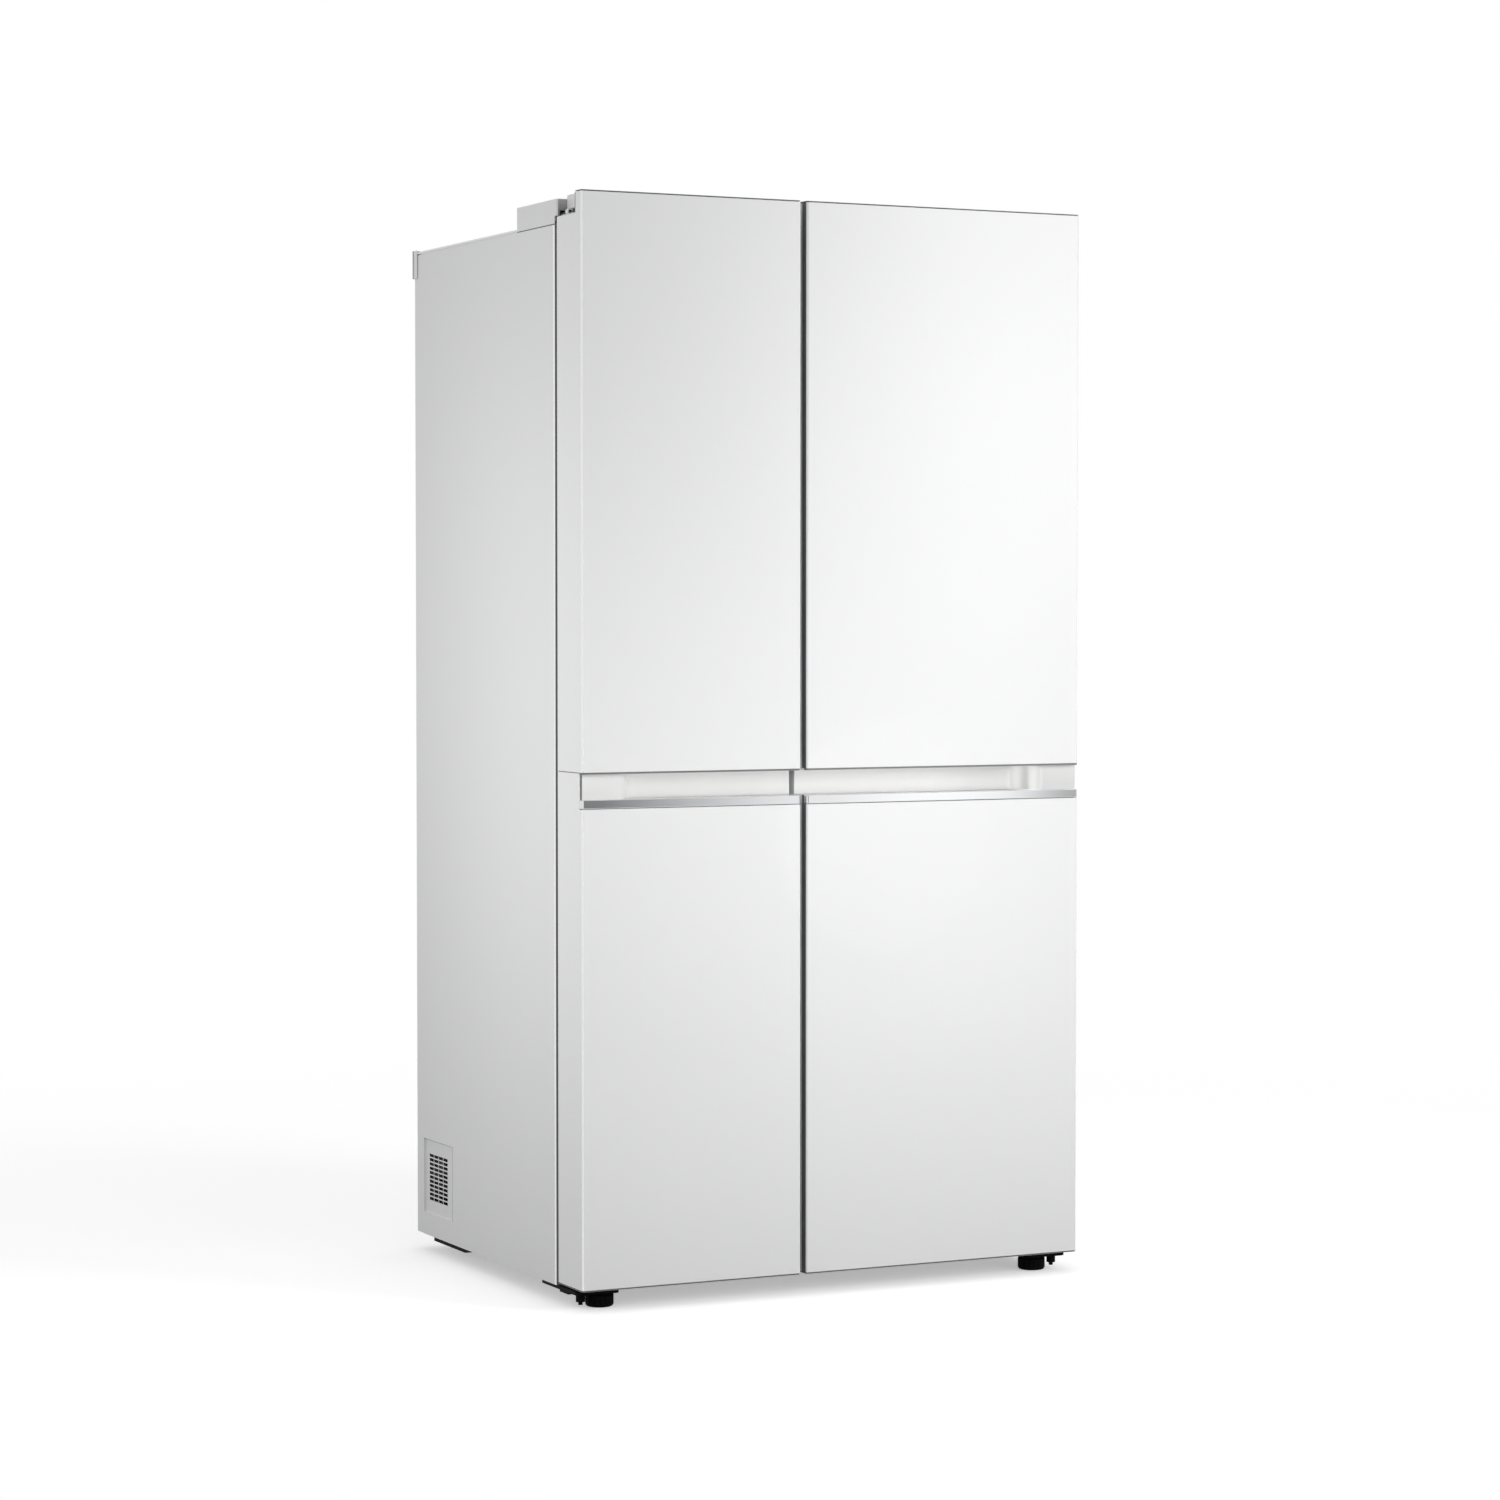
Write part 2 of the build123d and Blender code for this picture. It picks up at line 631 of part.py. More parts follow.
def screw_z(x, y, seat, tip, shank_r):
    """A screw whose head lies against the seat and whose shank ends at the tip."""
    way = 1 if seat > tip else -1
    head_end = seat + way * HEAD_HIGH
    head = rod_z(x, y, min(seat, head_end), max(seat, head_end), shank_r + HEAD_OVER)
    return head + rod_z(x, y, min(seat, tip), max(seat, tip), shank_r)


def fixing_screws():
    screws = []
    for x, y in TOP_SCREWS:
        for place in (x, WIDTH - x):
            screws.append(screw_z(place, y, CASE_TOP + STEEL, CASE_TOP, TOP_SCREW_R))
    for x, y in BOTTOM_SCREWS:
        for place in (x, WIDTH - x):
            screws.append(screw_z(place, y, BRACKET_BOTTOM, BRACKET_TOP, BOTTOM_SCREW_R))
    for x, z in cover_screw_places():
        head = rod_y(x, CASE_BACK, CASE_BACK + HEAD_HIGH, z, COVER_SCREW_R + HEAD_OVER)
        screws.append(head + rod_y(x, CASE_BACK - COVER_SHEET, CASE_BACK, z, COVER_SCREW_R))
    return screws


# Cabinet shell


def side_panel():
    left = CASE_INSET
    step = CASE_BACK - REAR_BAND
    right = left + FRONT_FLANGE
    outline = (
        (left, CASE_FRONT), (right, CASE_FRONT), (right, CASE_FRONT + SHEET),
        (left + SHEET, CASE_FRONT + SHEET), (left + SHEET, step + 1), (left + 2 * SHEET, step + 2),
        (left + 2 * SHEET, CASE_BACK - SHEET), (left + 15, CASE_BACK - SHEET), (left + 15, CASE_BACK),
        (left + SHEET, CASE_BACK), (left + SHEET, step + 1.5), (left, step + 0.5),
    )
    panel = plate_xy(outline, CASE_BOTTOM, CASE_TOP - CASE_EDGE_R - SIDE_SEAM)
    inner = upright_near(panel, left + SHEET, CASE_FRONT + SHEET)
    panel = fillet([inner], CASE_FRONT_R - SHEET)
    outer = upright_near(panel, left, CASE_FRONT)
    panel = fillet([outer], CASE_FRONT_R)
    return panel - block(-1, 10, VENT_FRONT, VENT_BACK, VENT_BOTTOM, VENT_TOP)


def side_vent():
    """A shallow tray behind the hole in the side panel, with rows of slots in its floor."""
    rim = VENT_RIM
    face = CASE_INSET + SHEET
    floor = face + VENT_DEEP
    back = floor + VENT_WALL
    low = VENT_BOTTOM - rim
    high = VENT_TOP + rim
    tray = rounded_block(face, back, VENT_FRONT - rim, VENT_BACK + rim, low, high, rim, Axis.X)
    tray -= block(face - 1, floor, VENT_FRONT, VENT_BACK, VENT_BOTTOM, VENT_TOP)
    y0, y1, z0, z1 = SLOT_AREA
    across = (y1 - y0) / VENT_COLUMNS
    up = (z1 - z0) / VENT_ROWS
    for column in range(VENT_COLUMNS):
        for row in range(VENT_ROWS):
            y = y0 + across * (column + 0.5)
            z = z0 + up * (row + 0.5)
            slot_y = (y - SLOT_LONG / 2, y + SLOT_LONG / 2)
            tray -= block(face, back + 1, *slot_y, z - SLOT_HIGH / 2, z + SLOT_HIGH / 2)
    return tray


def top_panel():
    left = CASE_INSET
    right = WIDTH - CASE_INSET
    low = CASE_TOP - CASE_EDGE_R
    outer = block(left, right, CASE_FRONT, CASE_BACK, low, CASE_TOP)
    shoulders = outer.edges().filter_by(Axis.Y).group_by(Axis.Z)[-1]
    outer = fillet(shoulders, CASE_EDGE_R - 0.01)
    inner = block(left + SHEET, right - SHEET, CASE_FRONT - 1, CASE_BACK + 1, low - 1, CASE_TOP - SHEET)
    shoulders = inner.edges().filter_by(Axis.Y).group_by(Axis.Z)[-1]
    inner = fillet(shoulders, CASE_EDGE_R - SHEET)
    panel = outer - inner
    start = left + FRONT_FLANGE + 0.5
    end = WIDTH - start
    panel += block(start, end, CASE_FRONT, CASE_FRONT + SHEET, ROOM_CEILING + LINER, CASE_TOP - SHEET / 2)
    panel += block(20, WIDTH - 20, CASE_BACK - SHEET, CASE_BACK, CASE_TOP - 20, CASE_TOP - SHEET / 2)
    flange_y = (CASE_FRONT + 2 * CASE_FRONT_R, CASE_BACK - REAR_BAND - 2)
    joggle = (left + SHEET / 2, left + 2 * SHEET - FLANGE_PLAY)
    flange = (left + SHEET + FLANGE_PLAY, left + 2 * SHEET - FLANGE_PLAY)
    for (x0, x1), z0 in ((joggle, low + 0.2), (flange, low - FLANGE_DOWN)):
        panel += block(x0, x1, *flange_y, z0, low + 1.5)
        panel += block(WIDTH - x1, WIDTH - x0, *flange_y, z0, low + 1.5)
    return panel


def back_panel():
    panel = block(4, WIDTH - 4, FOAM_BACK, FOAM_BACK + 1.5, MACHINE_TOP + 2, CASE_TOP - 1.5)
    front = FOAM_BACK + 1
    for x in BACK_RIBS:
        end = x + BACK_RIB_WIDE
        rib = rounded_block(x, end, front, CASE_BACK + 1, BACK_RIB_LOW, BACK_RIB_HIGH, 20.0, Axis.Y)
        face = rib.edges().group_by(Axis.Y)[-1]
        panel += chamfer(face, 1.5)
    return panel


def base_plate():
    """The floor of the cabinet, with a front flange, two skid rails and the ears of the rear rollers."""
    side = CASE_INSET + CASE_FRONT_R
    plate = block(side, WIDTH - side, CASE_FRONT + SHEET, FOAM_BACK, CASE_BOTTOM, CASE_BOTTOM + 2)
    start = CASE_INSET + FRONT_FLANGE + 0.5
    plate += block(start, WIDTH - start, CASE_FRONT, CASE_FRONT + SHEET, CASE_BOTTOM, ROOM_FLOOR - LINER)
    plate += block(start, WIDTH - start, CASE_FRONT, CASE_FRONT + 5, CASE_BOTTOM, CASE_BOTTOM + 2)
    rail = (
        (SKID_FRONT, CASE_BOTTOM), (SKID_FRONT + SKID_SLOPE, SKID_BOTTOM),
        (SKID_BACK, SKID_BOTTOM), (SKID_BACK, CASE_BOTTOM),
    )
    ear = (
        (ROLLER_BEHIND - 22, CASE_BOTTOM), (ROLLER_BEHIND - 12, EAR_BOTTOM),
        (ROLLER_BEHIND + 12, EAR_BOTTOM), (ROLLER_BEHIND + 22, CASE_BOTTOM),
    )
    reach = ROLLER_WIDE / 2 + EAR_GAP
    near = ROLLER_SIDE - reach - EAR_THICK
    far = ROLLER_SIDE + reach
    for x0, x1, outline in ((*SKID, rail), (near, near + EAR_THICK, ear), (far, far + EAR_THICK, ear)):
        plate += plate_yz(outline, x0, x1)
        plate += plate_yz(outline, WIDTH - x1, WIDTH - x0)
    for x in (ROLLER_SIDE, WIDTH - ROLLER_SIDE):
        plate -= rod_x(x - 30, x + 30, ROLLER_BEHIND, ROLLER_R, AXLE_R + RUNNING)
    return plate


def cabinet_foam():
    """One pour of foam, kept as blocks that meet face to face round the two rooms."""
    left = CASE_INSET + 2.5 * SHEET
    right = WIDTH - left
    low = CASE_BOTTOM + 2
    high = CASE_TOP - CASE_EDGE_R
    rooms_left = FREEZER_LEFT - LINER
    rooms_right = FRIDGE_RIGHT + LINER
    post_left = FREEZER_RIGHT + LINER
    post_right = FRIDGE_LEFT - LINER
    floor = ROOM_FLOOR - LINER
    ceiling = ROOM_CEILING + LINER
    step_top = STEP_TOP - LINER
    step_front = STEP_FRONT + LINER
    back = ROOM_BACK + LINER
    return [
        block(left, rooms_left, FOAM_FRONT, FOAM_BACK, MACHINE_TOP, high),
        block(left, rooms_left, FOAM_FRONT, MACHINE_FRONT, low, MACHINE_TOP),
        block(rooms_right, right, FOAM_FRONT, FOAM_BACK, MACHINE_TOP, high),
        block(rooms_right, right, FOAM_FRONT, MACHINE_FRONT, low, MACHINE_TOP),
        block(post_left, post_right, FOAM_FRONT, back, step_top, ceiling),
        block(post_left, post_right, FOAM_FRONT, step_front, floor, step_top),
        block(rooms_left, rooms_right, FOAM_FRONT, FOAM_BACK, ceiling, high),
        block(rooms_left, rooms_right, FOAM_FRONT, MACHINE_FRONT, low, floor),
        block(rooms_left, rooms_right, step_front, MACHINE_FRONT, floor, MACHINE_TOP),
        block(rooms_left, rooms_right, step_front, FOAM_BACK, MACHINE_TOP, step_top),
        block(rooms_left, rooms_right, back, FOAM_BACK, step_top, ceiling),
    ]


def room_shape(left, right, grow, front):
    """The space of one compartment, with its step over the machine compartment."""
    x0 = left - grow
    x1 = right + grow
    upper = block(x0, x1, front, ROOM_BACK + grow, STEP_TOP - grow, ROOM_CEILING + grow)
    lower = block(x0, x1, front, STEP_FRONT + grow, ROOM_FLOOR - grow, STEP_TOP)
    return upper + lower


def room_liner(left, right, flange, shelves, shelf_back):
    tub = room_shape(left, right, LINER, CASE_FRONT)
    hollow = room_shape(left, right, 0, CASE_FRONT - 1)
    long_edges = hollow.edges().filter_by(Axis.Y)
    corners = [edge for edge in long_edges if abs(edge.center().Z - STEP_TOP) > 1]
    tub -= fillet(corners, ROOM_CORNER_R)
    x0, x1 = flange
    tub += block(x0, x1, CASE_FRONT, CASE_FRONT + LINER, ROOM_FLOOR - LINER, ROOM_CEILING + LINER)
    for level in (*shelves, UPPER_DRAWER_BOTTOM - 1):
        for start in (left - 1, right - LEDGE):
            tub += block(start, start + LEDGE + 1, LEDGE_FRONT, shelf_back, level - LEDGE, level)
    return tub


def freezer_liner():
    flange = (CASE_INSET + FRONT_FLANGE + 0.5, FREEZER_LEFT)
    return room_liner(FREEZER_LEFT, FREEZER_RIGHT, flange, FREEZER_SHELVES, FREEZER_SHELF_BACK)


def fridge_liner():
    flange = (FRIDGE_RIGHT, WIDTH - CASE_INSET - FRONT_FLANGE - 0.5)
    return room_liner(FRIDGE_LEFT, FRIDGE_RIGHT, flange, FRIDGE_SHELVES, FRIDGE_SHELF_BACK)


def mullion_cover():
    left = FREEZER_RIGHT + LINER
    right = FRIDGE_LEFT - LINER
    return block(left, right, CASE_FRONT, FOAM_FRONT, ROOM_FLOOR - LINER, ROOM_CEILING + LINER)


def rear_spacers():
    bottom = CASE_TOP + 2 - SPACER_HEIGHT
    guard = block(0, CASE_INSET, SPACER_START, CASE_BACK + 4, bottom, CASE_TOP + 2)
    guard += rounded_block(0, SPACER_WIDTH, CASE_BACK, DEPTH, bottom, CASE_TOP + 2, 3.0)
    middle = Plane.YZ.offset(WIDTH / 2)
    return guard, mirror(guard, about=middle)


# Shelves, drawers and lamps


def shelf(left, right, back, level):
    """A glass plate with a front trim that grips its edge and a bar along the back."""
    x0 = left + SHELF_SIDE_GAP
    x1 = right - SHELF_SIDE_GAP
    lip_back = SHELF_FRONT + SHELF_LIP_DEEP
    plate = block(x0, x1, SHELF_FRONT + 5, back - 4, level, level + GLASS)
    lip_low = level - SHELF_LIP_DOWN
    lip_high = level + SHELF_LIP_UP
    lip = rounded_block(x0, x1, SHELF_FRONT, lip_back, lip_low, lip_high, SHELF_LIP_R, Axis.X)
    bar = block(x0, x1, back - SHELF_BAR_DEEP, back, level + 0.1, level + SHELF_BAR_UP)
    return plate, lip - plate, bar - plate


def freezer_shelves():
    shelves = [shelf(FREEZER_LEFT, FREEZER_RIGHT, FREEZER_SHELF_BACK, z) for z in FREEZER_SHELVES]
    return [piece for pieces in shelves for piece in pieces]


def fridge_shelves():
    shelves = [shelf(FRIDGE_LEFT, FRIDGE_RIGHT, FRIDGE_SHELF_BACK, z) for z in FRIDGE_SHELVES]
    return [piece for pieces in shelves for piece in pieces]


def drawer(left, right, back, bottom, top):
    """An open tray with a thicker face and a grip cut into the top of the face."""
    x0 = left + DRAWER_SIDE_GAP
    x1 = right - DRAWER_SIDE_GAP
    tray = basin(x0, x1, DRAWER_FRONT, back, bottom, top, TRAY_R)
    wall = DRAWER_WALL
    front = DRAWER_FRONT + DRAWER_FACE
    tray -= basin(x0 + wall, x1 - wall, front, back - wall, bottom + wall, top + 1, TRAY_INNER_R)
    start = (x0 + x1) / 2 - SCOOP_HALF
    end = start + 2 * SCOOP_HALF
    low = top - SCOOP_DEEP
    high = top + SCOOP_DEEP
    return tray - rounded_block(start, end, DRAWER_FRONT - 1, front + 1, low, high, SCOOP_R, Axis.Y)


def compartment_lamps():
    freezer_middle = (FREEZER_LEFT + FREEZER_RIGHT) / 2
    fridge_middle = (FRIDGE_LEFT + FRIDGE_RIGHT) / 2
    low = ROOM_CEILING - LAMP_HIGH
    lamps = []
    for middle, half in ((freezer_middle, FREEZER_LAMP_HALF), (fridge_middle, FRIDGE_LAMP_HALF)):
        start = middle - half
        end = middle + half
        lamps.append(rounded_block(start, end, LAMP_FRONT, LAMP_BACK, low, ROOM_CEILING, LAMP_HIGH))
    return lamps


# Cooling system


def fin_coil(x0, x1, y0, y1, z0, z1, fins, rows, columns):
    """Upright fins threaded on straight tubes, with a box round the bends at each end."""
    tubes = []
    for column in range(columns):
        for row in range(rows):
            y = y0 + (y1 - y0) * (column + 0.5) / columns
            z = z0 + (z1 - z0) * (row + 0.5) / rows
            tubes.append(rod_x(x0, x1, y, z, TUBE_R))
    first = x0 + FIN_MARGIN
    pitch = (x1 - x0 - 2 * FIN_MARGIN) / (fins - 1)
    plates = [block(first + pitch * fin, first + pitch * fin + FIN, y0, y1, z0, z1) for fin in range(fins)]
    inset = BEND_INSET
    ends = (x0 - BEND_BOX, x1)
    boxes = [block(x, x + BEND_BOX, y0 + inset, y1 - inset, z0 + inset, z1 - inset) for x in ends]
    return tubes[0] + (tubes[1:] + plates + boxes)


def evaporator():
    return fin_coil(*EVAPORATOR_ROOM, fins=16, rows=5, columns=2)


def condenser():
    return fin_coil(*CONDENSER_ROOM, fins=18, rows=4, columns=3)


def drain_pan():
    x0, x1, y0, y1 = PAN
    wall = PAN_WALL
    pan = rounded_block(x0, x1, y0, y1, PAN_BOTTOM, PAN_TOP, 10.0)
    floor = PAN_BOTTOM + wall
    return pan - rounded_block(x0 + wall, x1 - wall, y0 + wall, y1 - wall, floor, PAN_TOP + 1, 8.0)


def compressor():
    """A sealed steel can on a foot plate, with its terminal box and three pipe stubs."""
    plate_half = 105
    can = rod_z(CAN_X, CAN_Y, CAN_BOTTOM, CAN_TOP, CAN_R)
    can = fillet(can.edges().group_by(Axis.Z)[-1], 45)
    can = fillet(can.edges().group_by(Axis.Z)[0], 25)
    left = CAN_X - plate_half
    right = CAN_X + plate_half
    can += rounded_block(left, right, CAN_Y - 65, CAN_Y + 65, CAN_BOTTOM - 3, CAN_BOTTOM + 2, 15.0)
    can += block(CAN_X + 65, CAN_X + 100, CAN_Y - 30, CAN_Y + 30, CAN_BOTTOM + 46, CAN_BOTTOM + 121)
    reach = CAN_R + 7
    for turn in (-35, 0, 35):
        stub_x = CAN_X - reach * math.cos(math.radians(turn))
        stub_y = CAN_Y + reach * math.sin(math.radians(turn))
        can += rod_z(stub_x, stub_y, CAN_BOTTOM + 1, CAN_BOTTOM + 86, TUBE_R)
    for x in (CAN_X - 85, CAN_X + 85):
        for y in (CAN_Y - 48, CAN_Y + 48):
            can += rod_z(x, y, CASE_BOTTOM + 2, CAN_BOTTOM - 2, 9)
    return can


def fan_blade(hub_r, hub_long, tip_r, blades, pitch_angle, shaft_r):
    """A fan wheel about the Z axis: a hub with a bore and pitched blades."""
    wheel = Cylinder(hub_r, hub_long)
    span = tip_r - hub_r + 3
    chord = tip_r * 0.62
    for blade in range(blades):
        vane = Pos(hub_r - 3 + span / 2, 0, 0) * Rot(pitch_angle, 0, 0) * Box(span, chord, 1.8)
        wheel += Rot(0, 0, 360 * blade / blades) * vane
    wheel &= Cylinder(tip_r, hub_long * 2)
    return wheel - Cylinder(shaft_r + RUNNING, hub_long * 2)


def fan_frame(half, hole_r, thick, motor_r, motor_gap, motor_long, shaft_r, shaft_long):
    """A square plate with a round hole, and a motor held behind it on four legs, along +Z."""
    frame = Pos(0, 0, -thick / 2) * Box(2 * half, 2 * half, thick) - Cylinder(hole_r, 4 * thick)
    motor_start = motor_gap
    motor_end = motor_gap + motor_long
    frame += rod_z(0, 0, motor_start, motor_end, motor_r)
    leg_reach = hole_r + 6
    for turn in (45, 135, 225, 315):
        spoke = block(motor_r - 4, leg_reach, -4, 4, motor_start + 4, motor_start + 8)
        spoke += block(leg_reach - 4, leg_reach, -4, 4, -thick / 2, motor_start + 8)
        frame += Rot(0, 0, turn) * spoke
    return frame + rod_z(0, 0, motor_start - shaft_long, motor_start + 1, shaft_r)


def condenser_fan():
    place = Pos(*CONDENSER_FAN) * Rot(0, 90, 0)
    frame = place * fan_frame(
        half=88, hole_r=78, thick=6, motor_r=26, motor_gap=20, motor_long=40, shaft_r=3.0, shaft_long=24)
    blade = place * fan_blade(
        hub_r=18, hub_long=20, tip_r=CONDENSER_BLADE_R, blades=5, pitch_angle=28, shaft_r=3.0)
    return frame, blade


def evaporator_fan():
    place = Pos(*EVAPORATOR_FAN) * Rot(-90, 0, 0)
    frame = place * fan_frame(
        half=64, hole_r=55, thick=4, motor_r=20, motor_gap=15, motor_long=28, shaft_r=2.5, shaft_long=18)
    blade = place * fan_blade(
        hub_r=13, hub_long=16, tip_r=EVAPORATOR_BLADE_R, blades=5, pitch_angle=26, shaft_r=2.5)
    return frame, blade


def air_slot(middle, half, level, front, back):
    low = level - 5
    high = level + 5
    return rounded_block(middle - half, middle + half, front - 1, back + 1, low, high, 4.5, Axis.Y)


def evaporator_cover():
    """The rear wall of the freezer, with air slots in front of the fan, higher up and at the foot."""
    front = EVAPORATOR_COVER_FRONT
    back = EVAPORATOR_COVER_BACK
    top = ROOM_CEILING - ROOM_CORNER_R
    wall = block(FREEZER_LEFT + 1, FREEZER_RIGHT - 1, front, back, STEP_TOP + 1, top)
    middle, _, fan_level = EVAPORATOR_FAN
    levels = [fan_level - 40 + 20 * step for step in range(5)]
    levels += [level + 22 * step for level in (1240, 1560) for step in range(4)]
    for level in levels:
        wall -= air_slot(middle, 70, level, front, back)
    for level in (360, 385, 410):
        wall -= air_slot(middle, 100, level, front, back)
    return wall


def fridge_air_duct():
    middle = (FRIDGE_LEFT + FRIDGE_RIGHT) / 2
    low = STEP_TOP + 1
    high = ROOM_CEILING - 1
    inner = DUCT_HALF - DUCT_WALL
    inner_front = DUCT_FRONT + DUCT_WALL
    duct = rounded_block(middle - DUCT_HALF, middle + DUCT_HALF, DUCT_FRONT, ROOM_BACK, low, high, 8.0)
    duct -= block(middle - inner, middle + inner, inner_front, ROOM_BACK + 1, low + 30, high - 20)
    for level in DUCT_OUTLETS:
        for x in (middle - 45, middle + 45):
            duct -= air_slot(x, 25, level, DUCT_FRONT, inner_front)
    return duct


# Rear of the cabinet


def machine_cover():
    front = CASE_BACK - COVER_SHEET
    cover = block(COVER_SIDE, WIDTH - COVER_SIDE, front, CASE_BACK, CASE_BOTTOM + 4, MACHINE_TOP)
    for start in LOUVRE_STARTS:
        end = start + LOUVRE_LONG
        for slot in range(LOUVRES):
            low = LOUVRE_LOW + LOUVRE_PITCH * slot
            high = low + LOUVRE_HIGH
            cover -= rounded_block(start, end, front - 1, CASE_BACK + 1, low, high, 3.4, Axis.Y)
    for x, z in cover_screw_places():
        cover -= rod_y(x, front - 1, CASE_BACK + 1, z, COVER_SCREW_R + SCREW_SLACK)
    return cover - rod_y(GLAND_X, front - 1, CASE_BACK + 1, GLAND_Z, GLAND_R)


def cord_gland():
    gland = rod_y(GLAND_X, CASE_BACK - 4, CASE_BACK + 8, GLAND_Z, GLAND_R - SCREW_SLACK)
    gland += rod_y(GLAND_X, CASE_BACK, CASE_BACK + 3, GLAND_Z, GLAND_FLANGE_R)
    return gland - rod_y(GLAND_X, CASE_BACK - 5, CASE_BACK + 9, GLAND_Z, GLAND_BORE_R)


def control_box():
    x0, x1, z0, z1 = CONTROL_BOX
    lid = rounded_block(x0, x1, CASE_BACK + 1, DEPTH - 1, z0, z1, 6.0, Axis.Y)
    rims = lid.edges().group_by(Axis.Y)[-1]
    return chamfer(rims, 2.0)


# Feet and rollers


def foot():
    """A round pad with a fluted rim on a stem that screws into the hinge plate."""
    pad = rod_z(FOOT_SIDE, FOOT_BEHIND, 0, FOOT_HIGH, FOOT_R)
    pad = fillet(pad.edges().group_by(Axis.Z)[0], FOOT_BOTTOM_R)
    pad = fillet(pad.edges().group_by(Axis.Z)[-1], FOOT_TOP_R)
    for flute in range(FLUTES):
        turn = math.radians(360 * flute / FLUTES)
        x = FOOT_SIDE + (FOOT_R + FLUTE_OUT) * math.cos(turn)
        y = FOOT_BEHIND + (FOOT_R + FLUTE_OUT) * math.sin(turn)
        pad -= rod_z(x, y, FLUTE_BOTTOM, FOOT_HIGH + 1, FLUTE_R)
    return pad + rod_z(FOOT_SIDE, FOOT_BEHIND, FOOT_HIGH, STEM_TOP, STEM_R)


def rear_roller():
    half = ROLLER_WIDE / 2
    reach = half + AXLE_OUT
    wheel = rod_x(ROLLER_SIDE - half, ROLLER_SIDE + half, ROLLER_BEHIND, ROLLER_R, ROLLER_R)
    rims = wheel.edges().filter_by(GeomType.CIRCLE)
    wheel = chamfer(rims, 1.5)
    return wheel + rod_x(ROLLER_SIDE - reach, ROLLER_SIDE + reach, ROLLER_BEHIND, ROLLER_R, AXLE_R)


def save_cabinet():
    save_pair("side_panel", side_panel())
    save("top_panel", top_panel())
    save("back_panel", back_panel())
    save("base_plate", base_plate())
    save("cabinet_foam", *cabinet_foam())
    save("freezer_liner", freezer_liner())
    save("fridge_liner", fridge_liner())
    save("mullion_cover", mullion_cover())
    save_pair("top_hinge", top_hinge())
    save_pair("hinge_cover", hinge_cover())
    save_pair("bottom_hinge", bottom_hinge())
    save("fixing_screws", *fixing_screws())
    vent = side_vent()
    save("side_vents", vent, mirror(vent, about=Plane.YZ.offset(WIDTH / 2)))
    save("rear_spacers", *rear_spacers())
    save("machine_cover", machine_cover())
    save("cord_gland", cord_gland())
    save("control_box", control_box())


def save_rooms():
    save("freezer_shelves", *freezer_shelves())
    save("fridge_shelves", *fridge_shelves())
    save("compartment_lamps", *compartment_lamps())
    freezer = (FREEZER_LEFT, FREEZER_RIGHT)
    fridge = (FRIDGE_LEFT, FRIDGE_RIGHT)
    low = ROOM_FLOOR + 2.0
    upper = UPPER_DRAWER_BOTTOM
    save("freezer_lower_drawer", drawer(*freezer, LOWER_DRAWER_BACK, low, LOWER_DRAWER_TOP))
    save("freezer_upper_drawer", drawer(*freezer, FREEZER_SHELF_BACK, upper, FREEZER_UPPER_DRAWER_TOP))
    save("fridge_lower_drawer", drawer(*fridge, LOWER_DRAWER_BACK, low, LOWER_DRAWER_TOP))
    save("fridge_upper_drawer", drawer(*fridge, FRIDGE_SHELF_BACK, upper, FRIDGE_UPPER_DRAWER_TOP))


def save_cooling():
    save("compressor", compressor())
    save("condenser", condenser())
    save("drain_pan", drain_pan())
    frame, blade = condenser_fan()
    save("condenser_fan_frame", frame)
    save("condenser_fan_blade", blade)
    save("evaporator", evaporator())
    save("evaporator_cover", evaporator_cover())
    frame, blade = evaporator_fan()
    save("evaporator_fan_frame", frame)
    save("evaporator_fan_blade", blade)
    save("fridge_air_duct", fridge_air_duct())


os.makedirs("parts", exist_ok=True)
save_cabinet()
save_rooms()
save_cooling()
save_pair("foot", foot())
save_pair("rear_roller", rear_roller())
save_door("freezer_door", FREEZER_DOOR, FREEZER_DYKE, save)
save_door("fridge_door", FRIDGE_DOOR, FRIDGE_DYKE, save_mirrored)
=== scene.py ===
import math

import bmesh
import bpy
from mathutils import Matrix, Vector


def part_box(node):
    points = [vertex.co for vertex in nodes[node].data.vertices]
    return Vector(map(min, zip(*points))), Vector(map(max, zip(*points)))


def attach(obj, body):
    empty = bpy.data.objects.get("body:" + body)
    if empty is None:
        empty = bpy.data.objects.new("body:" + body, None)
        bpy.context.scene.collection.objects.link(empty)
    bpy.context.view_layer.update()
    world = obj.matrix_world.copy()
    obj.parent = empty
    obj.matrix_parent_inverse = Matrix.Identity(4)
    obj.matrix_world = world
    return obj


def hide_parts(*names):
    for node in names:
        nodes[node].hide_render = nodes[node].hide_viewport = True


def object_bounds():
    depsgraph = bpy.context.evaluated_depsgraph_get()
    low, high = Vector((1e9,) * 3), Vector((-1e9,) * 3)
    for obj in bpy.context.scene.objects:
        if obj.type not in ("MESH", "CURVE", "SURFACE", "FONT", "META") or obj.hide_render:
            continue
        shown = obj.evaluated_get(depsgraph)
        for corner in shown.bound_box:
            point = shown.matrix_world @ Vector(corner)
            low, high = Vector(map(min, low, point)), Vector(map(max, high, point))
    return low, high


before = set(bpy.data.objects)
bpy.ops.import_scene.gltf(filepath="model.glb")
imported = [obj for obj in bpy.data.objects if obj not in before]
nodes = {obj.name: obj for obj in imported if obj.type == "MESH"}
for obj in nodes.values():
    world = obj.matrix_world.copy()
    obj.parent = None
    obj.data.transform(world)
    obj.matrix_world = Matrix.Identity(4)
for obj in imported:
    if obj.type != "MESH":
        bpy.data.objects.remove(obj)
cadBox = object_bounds()
scene = bpy.context.scene
print("frame loaded,", len(nodes), "nodes")


# camera, where the photographer stood

